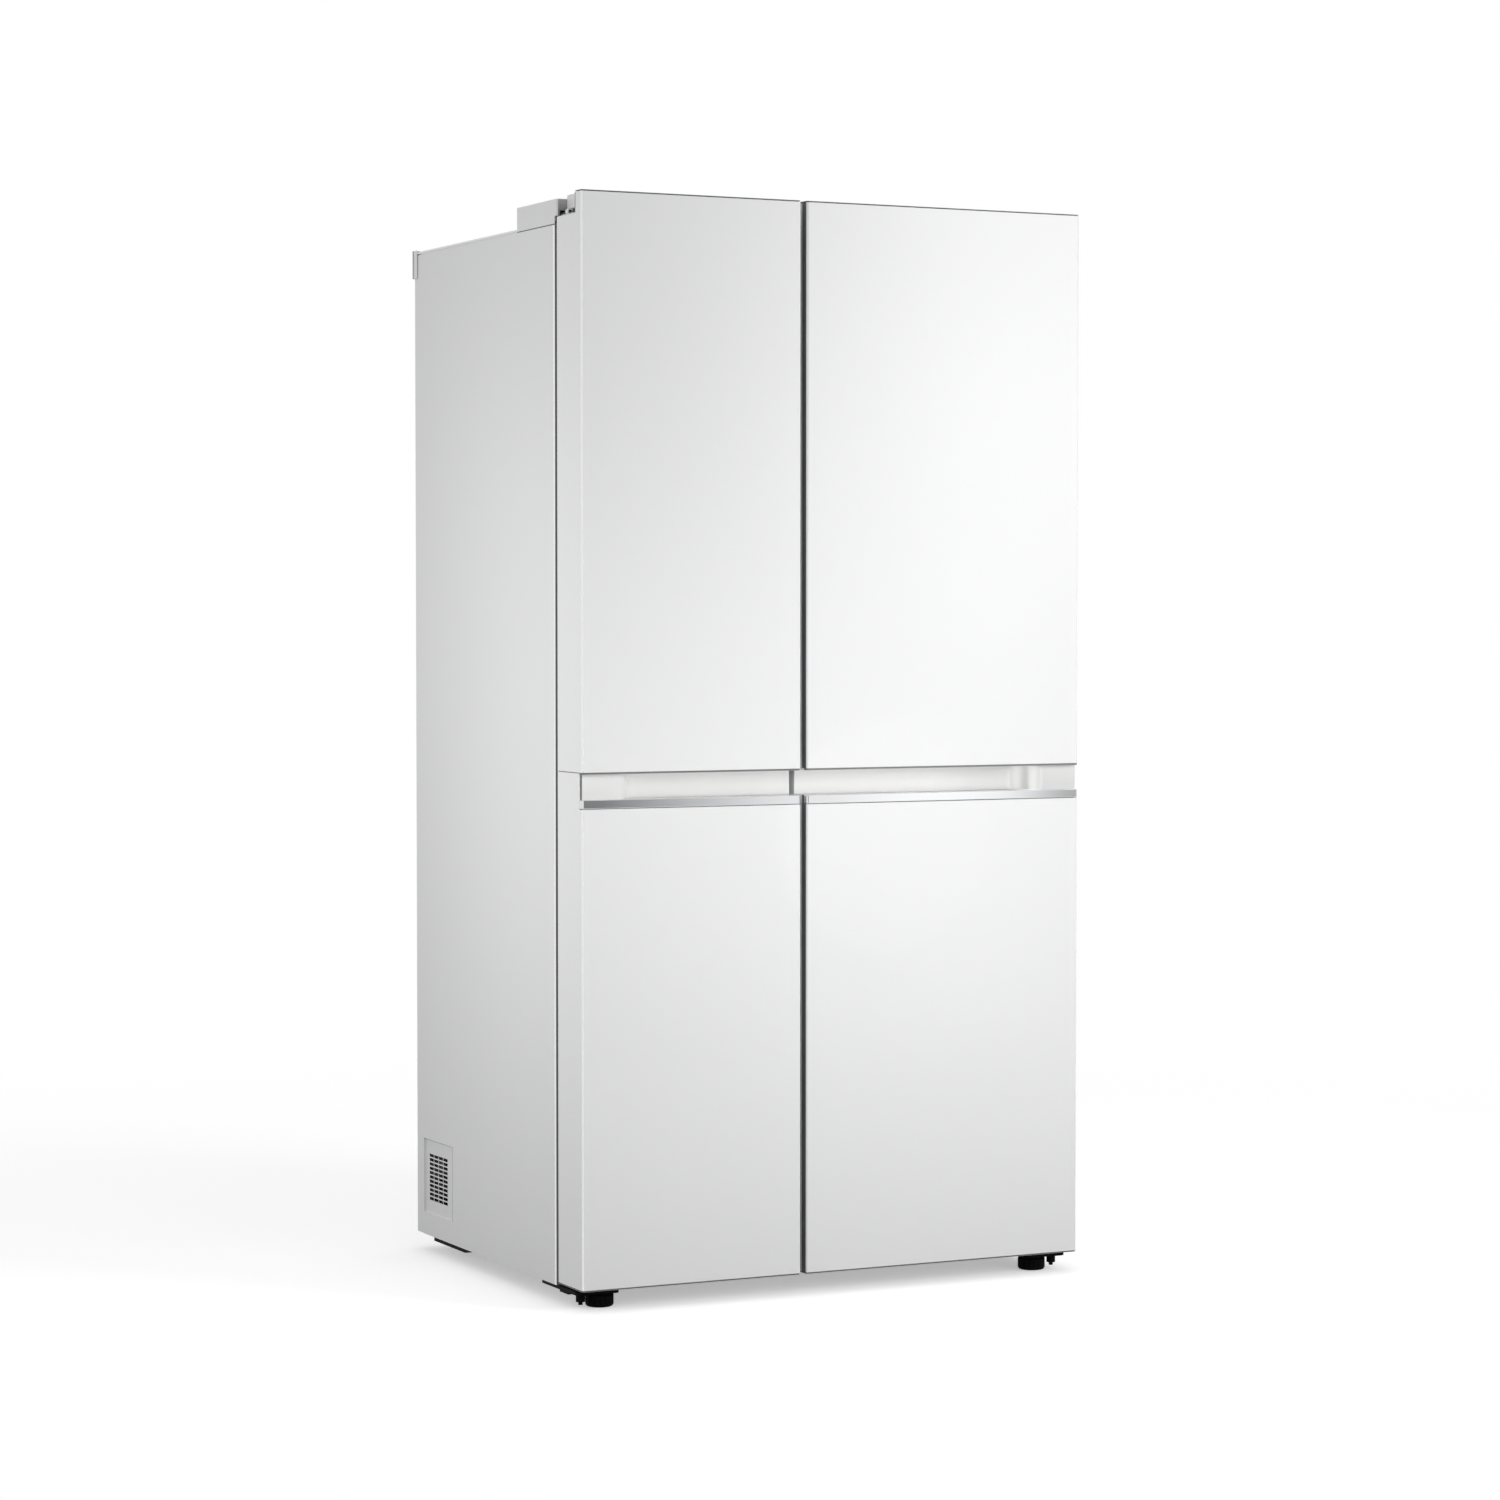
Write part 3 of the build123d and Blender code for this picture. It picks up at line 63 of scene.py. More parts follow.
camera = {
    "place": (-2.9335, -6.0234, 1.1194), "pitchDown": 2.053, "yaw": 26.124, "lens": 93.583, "sensor": 36.0,
    "reach": 60.0,
}


def placed(name, data):  # a new object in the scene
    holder = bpy.data.objects.new(name, data)
    scene.collection.objects.link(holder)
    return holder


def setCamera():
    data = bpy.data.cameras.new("camera")
    data.sensor_width = camera["sensor"]
    data.lens = camera["lens"]
    data.clip_end = camera["reach"]
    holder = placed("camera", data)
    holder.location = camera["place"]
    holder.rotation_euler = (math.radians(90 - camera["pitchDown"]), 0, math.radians(-camera["yaw"]))
    scene.camera = holder


# node sockets that take plain arithmetic

class Wire:
    def __init__(self, tree, socket):
        self.tree = tree
        self.socket = socket

    def node(self, kind, settings=None, sockets=None, out=0):
        made = self.tree.nodes.new(kind)
        for name, value in (settings or {}).items():
            if name == "stops":
                self.setStops(made.color_ramp, value)
            else:
                setattr(made, name, value)
        for name, value in (sockets or {}).items():
            if isinstance(value, Wire):
                self.tree.links.new(value.socket, made.inputs[name])
            else:
                made.inputs[name].default_value = value
        return Wire(self.tree, made.outputs[out])

    def setStops(self, ramp, stops):
        while len(ramp.elements) < len(stops):
            ramp.elements.new(1.0)
        for element, (place, shade) in zip(ramp.elements, stops):
            element.position = place
            element.color = (*shade, 1.0)

    def math(self, operation, first, second=0.0):
        return self.node("ShaderNodeMath", {"operation": operation}, {0: first, 1: second})

    def __add__(self, other):
        return self.math("ADD", self, other)

    def __radd__(self, other):
        return self.math("ADD", other, self)

    def __sub__(self, other):
        return self.math("SUBTRACT", self, other)

    def __rsub__(self, other):
        return self.math("SUBTRACT", other, self)

    def __mul__(self, other):
        return self.math("MULTIPLY", self, other)

    def __rmul__(self, other):
        return self.math("MULTIPLY", other, self)

    def __truediv__(self, other):
        return self.math("DIVIDE", self, other)

    def __gt__(self, other):
        return self.math("GREATER_THAN", self, other)

    def __lt__(self, other):
        return self.math("LESS_THAN", self, other)

    def __abs__(self):
        return self.math("ABSOLUTE", self)


def stretched(place, x, y, z):  # object coordinates, pulled out along some axes
    return place.node("ShaderNodeVectorMath", {"operation": "MULTIPLY"}, {0: place, 1: (x, y, z)})


def axes(place):  # the three parts of a vector
    first = place.node("ShaderNodeSeparateXYZ", None, {0: place})
    return [Wire(first.tree, out) for out in first.socket.node.outputs]


def noise(place, scale, detail=2.0, roughness=0.5):
    sockets = {"Vector": place, "Scale": scale, "Detail": detail, "Roughness": roughness}
    return place.node("ShaderNodeTexNoise", None, sockets)


def cells(place, scale, out=0, feature="F1"):
    return place.node("ShaderNodeTexVoronoi", {"feature": feature}, {"Vector": place, "Scale": scale}, out)


def mixed(amount, first, second):  # a blend of two colours
    sockets = {0: amount, 6: first, 7: second}  # 6 and 7 take the colours of this node
    for key in (6, 7):
        if not isinstance(sockets[key], Wire):
            sockets[key] = (*sockets[key], 1.0)
    return amount.node("ShaderNodeMix", {"data_type": "RGBA"}, sockets, 2)


noiseRange = (0.3, 0.7)  # where nearly all values of a noise lie


def ramped(amount, low, high):  # spreads low..high over 0..1
    sockets = {"Value": amount, "From Min": low, "From Max": high}
    return amount.node("ShaderNodeMapRange", {"clamp": True}, sockets)


def between(limits, amount):  # goes from the low limit to the high one
    low, high = limits
    return low + (high - low) * amount


def weighed(shares, first, *others):  # a sum in which every wire has its share
    total = first * shares[0]
    for wire, share in zip(others, shares[1:]):
        total = total + wire * share
    return total


def bumped(height, depth):
    return height.node("ShaderNodeBump", None, {"Height": height, "Distance": depth})


def newFinish(name, **plain):  # plain holds the sockets that are the same all over
    finish = bpy.data.materials.new(name)
    finish.use_nodes = True
    tree = finish.node_tree
    shader = tree.nodes["Principled BSDF"]
    for socket, value in plain.items():
        shader.inputs[socket.replace("_", " ")].default_value = value
    place = Wire(tree, tree.nodes.new("ShaderNodeTexCoord").outputs["Object"])
    return finish, shader, place


def feed(shader, **wires):
    for socket, wire in wires.items():
        wire.tree.links.new(wire.socket, shader.inputs[socket.replace("_", " ")])


def shade(colour, factor):
    return tuple(channel * factor for channel in colour)


def mottled(amount, colour, darkest):  # a colour that is darker where the amount is low
    return mixed(amount, shade(colour, darkest), colour)


# white enamel on the doors: a smooth coat with a faint orange peel and slow drifts of tone, with painted
# shade on a strip in the middle gap and on the cut edge in front of the hinge notch

doorEnamel = {
    "colour": (0.895, 0.897, 0.900), "drift": 0.985, "driftsPerMetre": 2.2, "flecksPerMetre": 2600,
    "toneShares": (0.8, 0.2), "peelPerMetre": 330, "peelDepth": 0.000016, "sheen": (0.20, 0.27),
    "coat": (0.25, 0.35), "paintedEdgeShade": (0.10, 0.10, 0.102), "edgeReach": 0.0026,
    "edgeBehind": (0.0026, 0.016), "edgeRough": 0.25, "roundedEdge": 0.003, "edgeShine": 0.5,
    "edgePolish": 0.6, "notchFront": 0.024, "notchLine": 0.0026, "notchSlack": 0.0005, "notchSide": 0.001,
    "notchBottom": 1.7475,
}


def meetingEdge(place):  # 1 on a narrow strip along the side of the right door, in the middle gap, where shade is painted
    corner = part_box("fridge_door_upper_panel")[0]
    near, far = doorEnamel["edgeBehind"]
    x, y, z = axes(place)
    beside = abs(x - corner.x) < doorEnamel["edgeReach"]
    return beside * (y > corner.y + near) * (y < corner.y + far)


def notchEdge(place):  # 1 on the cut edge of the skin in front of the hinge notch, where shade is painted
    front = cadBox[0].y + doorEnamel["notchFront"]
    x, y, z = axes(place)
    line = (y > front - doorEnamel["notchLine"]) * (y < front + doorEnamel["notchSlack"])
    return line * (z > doorEnamel["notchBottom"]) * (abs(x) > cadBox[1].x - doorEnamel["notchSide"])


def roundedEdge(place):  # 1 on the rounded upright edges of the doors
    x, y, z = axes(place)
    outer = abs(x) > cadBox[1].x - doorEnamel["roundedEdge"]
    return outer * (y < cadBox[0].y + doorEnamel["roundedEdge"])


def makeDoorEnamel():
    finish, shader, place = newFinish("doorEnamel", Coat_Roughness=0.06, Coat_IOR=1.48)
    slow = noise(place, doorEnamel["driftsPerMetre"], 3.0)
    peel = noise(place, doorEnamel["peelPerMetre"], 1.0)
    fleck = noise(place, doorEnamel["flecksPerMetre"], 0.0)
    tone = weighed(doorEnamel["toneShares"], ramped(slow, *noiseRange), fleck)
    white = mottled(tone, doorEnamel["colour"], doorEnamel["drift"])
    edge = meetingEdge(place)
    dark = edge.math("MAXIMUM", edge, notchEdge(place))
    rounded = roundedEdge(place)
    rough = between(doorEnamel["sheen"], peel) + edge * doorEnamel["edgeRough"]
    feed(
        shader,
        # painted shade: grey on the strip in the middle gap and on the cut edge at the hinge notch
        Base_Color=mixed(dark, white, doorEnamel["paintedEdgeShade"]),
        Roughness=rough * (1 - rounded * doorEnamel["edgePolish"]),
        Metallic=rounded * doorEnamel["edgeShine"],
        Coat_Weight=between(doorEnamel["coat"], slow) * (1 - edge),
        Normal=bumped(peel, doorEnamel["peelDepth"]),
    )
    return finish


# pre-coated sheet on the cabinet sides and top: a fine pebble, with painted shade on the front rim behind
# the doors and in the seam under the hinge covers

cabinetSheet = {
    "colour": (0.885, 0.888, 0.893), "drift": 0.98, "driftsPerMetre": 1.6, "pebblesPerMetre": 620,
    "pebbleRange": (0.0, 0.7), "toneShares": (0.75, 0.25), "pebbleDepth": 0.00003, "sheen": (0.32, 0.44),
    "paintedSeamShade": (0.10, 0.10, 0.102), "slitDeep": 0.0029, "slitWide": 0.018, "seamHigh": 0.0016,
    "seamSlack": 0.0005, "seamIn": (0.0003, 0.003), "edgeRound": 0.0085, "edgeShine": 0.6,
    "edgePolish": 0.7,
}


def doorSlit(place):  # 1 on the outer strip of the front edge, behind the doors, where shade is painted
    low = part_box("side_panel_left")[0]
    x, y, z = axes(place)
    return (y < low.y + cabinetSheet["slitDeep"]) * (abs(x) > -low.x - cabinetSheet["slitWide"])


def topSeam(place):  # 1 on the flange that shows in the seam under the hinge cover, where shade is painted
    low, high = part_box("side_panel_left")
    x, y, z = axes(place)
    near, far = cabinetSheet["seamIn"]
    seam = (z > high.z - cabinetSheet["seamSlack"]) * (z < high.z + cabinetSheet["seamHigh"])
    seam = seam * (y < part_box("hinge_cover_left")[1].y)
    return seam * (abs(x) < -low.x - near) * (abs(x) > -low.x - far)


def frontEdge(place):  # 1 on the rounded front edge of the sides
    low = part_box("side_panel_left")[0]
    x, y, z = axes(place)
    near = (y < low.y + cabinetSheet["edgeRound"]) * (y > low.y + cabinetSheet["slitDeep"])
    return near * (abs(x) > -low.x - cabinetSheet["edgeRound"])


def makeCabinetSheet():
    finish, shader, place = newFinish("cabinetSheet")
    pebble = cells(place, cabinetSheet["pebblesPerMetre"], feature="SMOOTH_F1")
    slow = noise(place, cabinetSheet["driftsPerMetre"], 3.0)
    spots = ramped(pebble, *cabinetSheet["pebbleRange"])
    tone = weighed(cabinetSheet["toneShares"], ramped(slow, *noiseRange), spots)
    white = mottled(tone, cabinetSheet["colour"], cabinetSheet["drift"])
    slit = doorSlit(place)
    dark = slit.math("MAXIMUM", slit, topSeam(place))
    rounded = frontEdge(place)
    feed(
        shader,
        # painted shade: grey on the rim behind the doors and on the seam flange
        Base_Color=mixed(dark, white, cabinetSheet["paintedSeamShade"]),
        Roughness=between(cabinetSheet["sheen"], pebble) * (1 - rounded * cabinetSheet["edgePolish"]),
        Metallic=rounded * cabinetSheet["edgeShine"],
        Normal=bumped(pebble, cabinetSheet["pebbleDepth"]),
    )
    return finish


# satin moulding in the grip pockets, with painted shade along its lip and at the outer end of the left one

pocketPlastic = {
    "high": (0.985, 0.983, 0.976), "low": (0.72, 0.719, 0.713), "floor": 0.8185, "sheen": (0.34, 0.42),
    "ripplePerMetre": 60, "rippleDepth": 0.00002, "grainPerMetre": 900, "toneShares": (0.94, 0.04, 0.02),
    "dark": (0.16, 0.16, 0.162), "lipHigh": 0.0032, "lipDeep": 0.0102, "seamDeep": 0.0015,
    "endWide": 0.0047, "endFrom": 0.009, "endTo": 0.0135, "bend": (0.113, 0.063), "bendShine": 0.85,
    "endShade": 0.83, "dimFrom": 0.26,
}


def pocketShadow(place):  # 1 where shade is painted: on the lip under the upper panel, in the side seam and on the narrow end strip
    values = pocketPlastic
    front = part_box("freezer_door_upper_panel")[0]
    side = -front.x
    x, y, z = axes(place)
    outer = (y < front.y + values["lipDeep"]) + (abs(x) > side - values["seamDeep"])
    lip = (z > front.z - values["lipHigh"]) * (outer > 0.5)
    end = (x < values["endWide"] - side) * (y > front.y + values["endFrom"])
    return lip.math("MAXIMUM", lip, end * (y < front.y + values["endTo"]))


def towardEnd(place, start):  # 0 to 1 along the right pocket, from a start to the outer end of its bend
    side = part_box("fridge_door_upper_panel")[1].x
    x, y, z = axes(place)
    return ramped(x, side - start, side - pocketPlastic["bend"][1])


def makePocketPlastic():
    values = pocketPlastic
    finish, shader, place = newFinish("pocketPlastic")
    ripple = noise(place, values["ripplePerMetre"], 1.0)
    fine = noise(place, values["grainPerMetre"], 2.0)
    x, y, z = axes(place)
    # painted light and shade: darker near the pocket floor, lighter up to the upper panel
    rise = ramped(z, values["floor"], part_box("freezer_door_upper_panel")[0].z)
    tone = weighed(values["toneShares"], rise, ripple, fine)
    white = mixed(tone, values["low"], values["high"])
    # painted shade: the right pocket darker towards its outer end
    less = values["endShade"]
    dim = mixed(tone, shade(values["low"], less), shade(values["high"], less))
    # painted highlight: the bend of the right pocket lighter in colour and metal-like
    along = towardEnd(place, values["bend"][0])
    bend = along * (1 - along) * 4  # 1 at the middle of the bend
    pale = mixed(bend, mixed(towardEnd(place, values["dimFrom"]), white, dim), values["high"])
    feed(
        shader,
        Base_Color=mixed(pocketShadow(place), pale, values["dark"]),
        Roughness=between(values["sheen"], fine),
        Metallic=bend * values["bendShine"],
        Normal=bumped(ripple, values["rippleDepth"]),
    )
    return finish


# moulded plastics: spark-eroded grain at a given fineness

moulded = {
    "mottle": 0.965, "grainRough": 0.65, "flowsPerMetre": 7.0, "flowPull": (1.0, 1.0, 0.35),
    "toneShares": (0.6, 0.4),
}
whiteGrain = {"sheen": (0.34, 0.46), "grainPerMetre": 1100, "grainDepth": 0.00003}


def mouldedColour(place, grain, colour, mottle):
    flow = noise(stretched(place, *moulded["flowPull"]), moulded["flowsPerMetre"], 2.0)
    tone = weighed(moulded["toneShares"], ramped(flow, *noiseRange), grain)
    return mottled(tone, colour, mottle)


def makeMoulding(name, colour, sheen, grainPerMetre, grainDepth, mottle=moulded["mottle"], **plain):
    finish, shader, place = newFinish(name, **plain)
    grain = noise(place, grainPerMetre, 3.0, moulded["grainRough"])
    feed(
        shader,
        Base_Color=mouldedColour(place, grain, colour, mottle),
        Roughness=between(sheen, grain),
        Normal=bumped(grain, grainDepth),
    )
    return finish


def makeShadedMoulding(name, paintedShadePart):  # white moulding with painted shade on a part that a rule picks out
    values = shadedMouldings[name]
    finish, shader, place = newFinish(name)
    grain = noise(place, whiteGrain["grainPerMetre"], 3.0, moulded["grainRough"])
    white = mouldedColour(place, grain, values["colour"], moulded["mottle"])
    dark, amount = paintedShadePart(place, values)
    feed(
        shader,
        Base_Color=mixed(amount, white, dark),
        Roughness=between(whiteGrain["sheen"], grain),
        Normal=bumped(grain, whiteGrain["grainDepth"]),
    )
    return finish


def capGroove(place, values):  # painted shade on the lip and in the groove round the top and bottom of the doors
    low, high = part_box("freezer_door_end_caps")
    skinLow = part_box("freezer_door_lower_panel")[0].z
    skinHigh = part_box("freezer_door_upper_panel")[1].z
    x, y, z = axes(place)
    top = (z > skinHigh - values["overlap"]) * (z < high.z - values["flat"])
    bottom = (z < skinLow + values["overlap"]) * (z > low.z + values["flat"])
    notch = (y > low.y + values["notchFront"]) * (abs(x) > -low.x - values["notchWide"])
    return values["dark"], top * (1 - notch) + bottom


def coverFront(place, values):  # painted shade on the front of the hinge cover, darker downward
    low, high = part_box("hinge_cover_left")
    x, y, z = axes(place)
    fall = mixed(ramped(z, values["from"], high.z), values["dark"], values["dim"])
    return fall, y < low.y + values["deep"]


def ventSlots(place, values):  # painted shade on the walls of the slots and on two edges of the tray
    low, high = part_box("side_vents")
    x, y, z = axes(place)
    slot = abs(x) < -low.x - values["floorIn"]
    front = y < low.y + values["rim"] + values["edgeDeep"]
    top = z > high.z - values["rim"] - values["edgeHigh"]
    edge = front.math("MAXIMUM", front, top) * values["edgeDim"]
    return values["dark"], slot.math("MAXIMUM", slot, edge)


def spacerJoint(place, values):  # painted shade in the joint where the spacer leaves the cabinet back
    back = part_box("side_panel_left")[1].y
    x, y, z = axes(place)
    return values["dark"], (y > back - values["slack"]) * (y < back + values["wide"])


shadedMouldings = {
    "spacerPlastic": {
        "colour": (0.91, 0.913, 0.918), "dark": (0.16, 0.16, 0.162), "wide": 0.003, "slack": 0.0005,
    },
    "doorCaps": {
        "colour": (0.87, 0.873, 0.878), "dark": (0.17, 0.17, 0.172), "overlap": 0.0003, "flat": 0.00005,
        "notchFront": 0.0232, "notchWide": 0.055,
    },
    "coverPlastic": {
        "colour": (0.87, 0.873, 0.878), "dark": (0.16, 0.16, 0.162), "dim": (0.50, 0.50, 0.505),
        "from": 1.748, "deep": 0.0006,
    },
    "ventPlastic": {
        "colour": (0.87, 0.873, 0.878), "dark": (0.02, 0.02, 0.021), "floorIn": 0.0022, "rim": 0.005,
        "edgeDeep": 0.0095, "edgeHigh": 0.002, "edgeDim": 0.5,
    },
}
mouldings = {
    "linerPlastic": {
        "colour": (0.86, 0.868, 0.875), "sheen": (0.22, 0.32), "grainPerMetre": 260, "grainDepth": 0.00002,
    },
    "shelfPlastic": {
        "colour": (0.85, 0.86, 0.87), "sheen": (0.28, 0.38), "grainPerMetre": 700, "grainDepth": 0.00002,
    },
    "blackPlastic": {
        "colour": (0.005, 0.005, 0.0053), "sheen": (0.42, 0.6), "grainPerMetre": 900, "grainDepth": 0.00006,
        "mottle": 0.7, "Specular_IOR_Level": 0.03,
    },
    "rollerNylon": {
        "colour": (0.55, 0.55, 0.53), "sheen": (0.4, 0.55), "grainPerMetre": 800, "grainDepth": 0.00003,
        "mottle": 0.88,
    },
    "fanPlastic": {
        "colour": (0.10, 0.10, 0.105), "sheen": (0.35, 0.5), "grainPerMetre": 800, "grainDepth": 0.00003,
        "mottle": 0.85,
    },
    "sealVinyl": {
        "colour": (0.70, 0.705, 0.71), "sheen": (0.5, 0.62), "grainPerMetre": 1500, "grainDepth": 0.00002,
        "mottle": 0.93,
    },
}


# anodised strip: hairlines along its length

trimMetal = {
    "colour": (0.74, 0.75, 0.765), "drift": 0.9, "driftsPerMetre": 9.0, "linesPerMetre": 2600,
    "linePull": (0.006, 1.0, 1.0), "lineDepth": 0.000006, "toneShares": (0.7, 0.3), "sheen": (0.05, 0.09),
}


def makeTrimMetal():
    finish, shader, place = newFinish("trimMetal", Metallic=1.0)
    hair = noise(stretched(place, *trimMetal["linePull"]), trimMetal["linesPerMetre"], 2.0)
    slow = noise(place, trimMetal["driftsPerMetre"], 2.0)
    tone = weighed(trimMetal["toneShares"], hair, slow)
    feed(
        shader,
        Base_Color=mottled(tone, trimMetal["colour"], trimMetal["drift"]),
        Roughness=between(trimMetal["sheen"], hair),
        Normal=bumped(hair, trimMetal["lineDepth"]),
    )
    return finish


# galvanised sheet: spangles of different brightness

zincSheet = {
    "dark": (0.46, 0.47, 0.485), "light": (0.58, 0.59, 0.605), "sheen": (0.30, 0.5),
    "wandersPerMetre": 40.0, "wander": 0.006, "toneShares": (0.75, 0.25), "linesPerMetre": 700,
    "linePull": (1.0, 1.0, 0.05), "lineDepth": 0.00001, "paintedHoleShade": (0.02, 0.02, 0.02), "eyeSide": 0.4475,
    "eyeLevel": 1.7534, "eyeHole": 0.0028,
}
zincs = {
    "zincSheet": {"spanglesPerMetre": 150, "metal": 0.85, "lift": 1.0},
    "platedSteel": {"spanglesPerMetre": 420, "metal": 1.0, "lift": 1.0},
    "paleZinc": {"spanglesPerMetre": 420, "metal": 0.15, "lift": 1.5},
}


def eyeHole(place):  # 1 on the wall of the hole through the eye of the top hinge, where shade is painted
    x, y, z = axes(place)
    across = abs(x) - zincSheet["eyeSide"]
    up = z - zincSheet["eyeLevel"]
    return across * across + up * up < zincSheet["eyeHole"] ** 2


def makeZincSheet(name, spanglesPerMetre, metal, lift):
    finish, shader, place = newFinish(name, Metallic=metal)
    wander = noise(place, zincSheet["wandersPerMetre"], 2.0, 0.6) * zincSheet["wander"]
    bent = place.node("ShaderNodeVectorMath", {"operation": "ADD"}, {0: place, 1: wander})
    flake = cells(bent, spanglesPerMetre, 1)
    value = flake.node("ShaderNodeSeparateColor", None, {0: flake})
    fine = noise(stretched(place, *zincSheet["linePull"]), zincSheet["linesPerMetre"], 2.0)
    tone = weighed(zincSheet["toneShares"], value, fine)
    zinc = mixed(tone, shade(zincSheet["dark"], lift), shade(zincSheet["light"], lift))
    feed(
        shader,
        # painted shade: dark in the hole through the hinge eye
        Base_Color=mixed(eyeHole(place), zinc, zincSheet["paintedHoleShade"]),
        Roughness=between(zincSheet["sheen"], 1 - value),
        Normal=bumped(fine, zincSheet["lineDepth"]),
    )
    return finish


# black powder coat on the lower brackets, the base plate and the compressor

powderCoat = {
    "colour": (0.005, 0.005, 0.0053), "bloom": (0.012, 0.012, 0.0125), "bloomsPerMetre": 24.0,
    "bloomRange": (0.5, 0.8), "toneShares": (0.5, 0.2), "grainPerMetre": 1300, "grainDepth": 0.00007,
    "sheen": (0.42, 0.64),
}


def makePowderCoat():
    finish, shader, place = newFinish("powderCoat", Specular_IOR_Level=0.03)
    grain = noise(place, powderCoat["grainPerMetre"], 2.0, 0.6)
    dust = noise(place, powderCoat["bloomsPerMetre"], 4.0, 0.6)
    tone = weighed(powderCoat["toneShares"], ramped(dust, *powderCoat["bloomRange"]), grain)
    feed(
        shader,
        Base_Color=mixed(tone, powderCoat["colour"], powderCoat["bloom"]),
        Roughness=between(powderCoat["sheen"], grain),
        Normal=bumped(grain, powderCoat["grainDepth"]),
    )
    return finish


# poured foam: cream, with open pores, and painted shade where a seam of the back shows it

pouredFoam = {
    "cream": (0.80, 0.72, 0.50), "pore": (0.62, 0.53, 0.33), "poresPerMetre": 480, "poreRange": (0.1, 0.6),
    "poreDepth": 0.0004, "swirlsPerMetre": 18.0, "toneShares": (0.7, 0.3), "sheen": (0.82, 0.97),
    "skin": (0.20, 0.20, 0.205), "skinDeep": 0.012,
}


def makePouredFoam():
    finish, shader, place = newFinish("pouredFoam")
    pore = cells(place, pouredFoam["poresPerMetre"])
    swirl = noise(place, pouredFoam["swirlsPerMetre"], 4.0, 0.6)
    tone = weighed(pouredFoam["toneShares"], ramped(pore, *pouredFoam["poreRange"]), swirl)
    cream = mixed(tone, pouredFoam["pore"], pouredFoam["cream"])
    x, y, z = axes(place)
    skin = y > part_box("cabinet_foam")[1].y - pouredFoam["skinDeep"]
    feed(
        shader,
        # painted shade: dark on the foam where the back seams show it
        Base_Color=mixed(skin, cream, pouredFoam["skin"]),
        Roughness=between(pouredFoam["sheen"], pore),
        Normal=bumped(pore, pouredFoam["poreDepth"]),
    )
    return finish


# clear and opal pieces

clearSkin = {
    "smearsPerMetre": 14.0, "smearShade": 0.975, "smearRough": 0.03, "ripplesPerMetre": 60.0,
    "rippleDepth": 0.00002,
}
clearPieces = {
    "clearStyrene": {
        "colour": (0.90, 0.925, 0.94), "rough": 0.06, "ior": 1.49, "through": 0.2, "veil": 0.42,
    },
    "shelfGlass": {
        "colour": (0.88, 0.945, 0.93), "rough": 0.02, "ior": 1.5, "through": 0.6, "veil": 0.45,
    },
    "lampOpal": {
        "colour": (0.93, 0.93, 0.91), "rough": 0.35, "ior": 1.46, "through": 0.35, "veil": 1.0,
    },
}


def makeClear(name):
    values = clearPieces[name]
    plain = {"IOR": values["ior"], "Transmission_Weight": values["through"], "Alpha": values["veil"]}
    finish, shader, place = newFinish(name, **plain)
    smear = noise(place, clearSkin["smearsPerMetre"], 3.0)
    ripple = noise(place, clearSkin["ripplesPerMetre"], 1.0)
    feed(
        shader,
        Base_Color=mottled(smear, values["colour"], clearSkin["smearShade"]),
        Roughness=values["rough"] + smear * clearSkin["smearRough"],
        Normal=bumped(ripple, clearSkin["rippleDepth"]),
    )
    return finish


# cooling coils: bright fins, dulled by water marks

coilMetal = {
    "dull": (0.52, 0.53, 0.54), "bright": (0.74, 0.75, 0.76), "marksPerMetre": 160,
    "markPull": (1.0, 1.0, 0.1), "markDepth": 0.00003, "sheen": (0.28, 0.5),
}


def makeCoilMetal():
    finish, shader, place = newFinish("coilMetal", Metallic=0.9)
    streak = noise(stretched(place, *coilMetal["markPull"]), coilMetal["marksPerMetre"], 3.0)
    feed(
        shader,
        Base_Color=mixed(streak, coilMetal["dull"], coilMetal["bright"]),
        Roughness=between(coilMetal["sheen"], streak),
        Normal=bumped(streak, coilMetal["markDepth"]),
    )
    return finish


finishes = {name: makeMoulding(name, **values) for name, values in mouldings.items()}
finishes.update({name: makeClear(name) for name in clearPieces})
paintedShadeParts = {
    "spacerPlastic": spacerJoint, "doorCaps": capGroove, "coverPlastic": coverFront,
    "ventPlastic": ventSlots,
}
finishes.update({name: makeShadedMoulding(name, paintedShadePart) for name, paintedShadePart in paintedShadeParts.items()})
finishes["doorEnamel"] = makeDoorEnamel()
finishes["cabinetSheet"] = makeCabinetSheet()
finishes["pocketPlastic"] = makePocketPlastic()
finishes["trimMetal"] = makeTrimMetal()
finishes.update({name: makeZincSheet(name, **values) for name, values in zincs.items()})
finishes["powderCoat"] = makePowderCoat()
finishes["pouredFoam"] = makePouredFoam()
finishes["coilMetal"] = makeCoilMetal()
print("finishes made:", len(finishes))


# which finish each solid wears

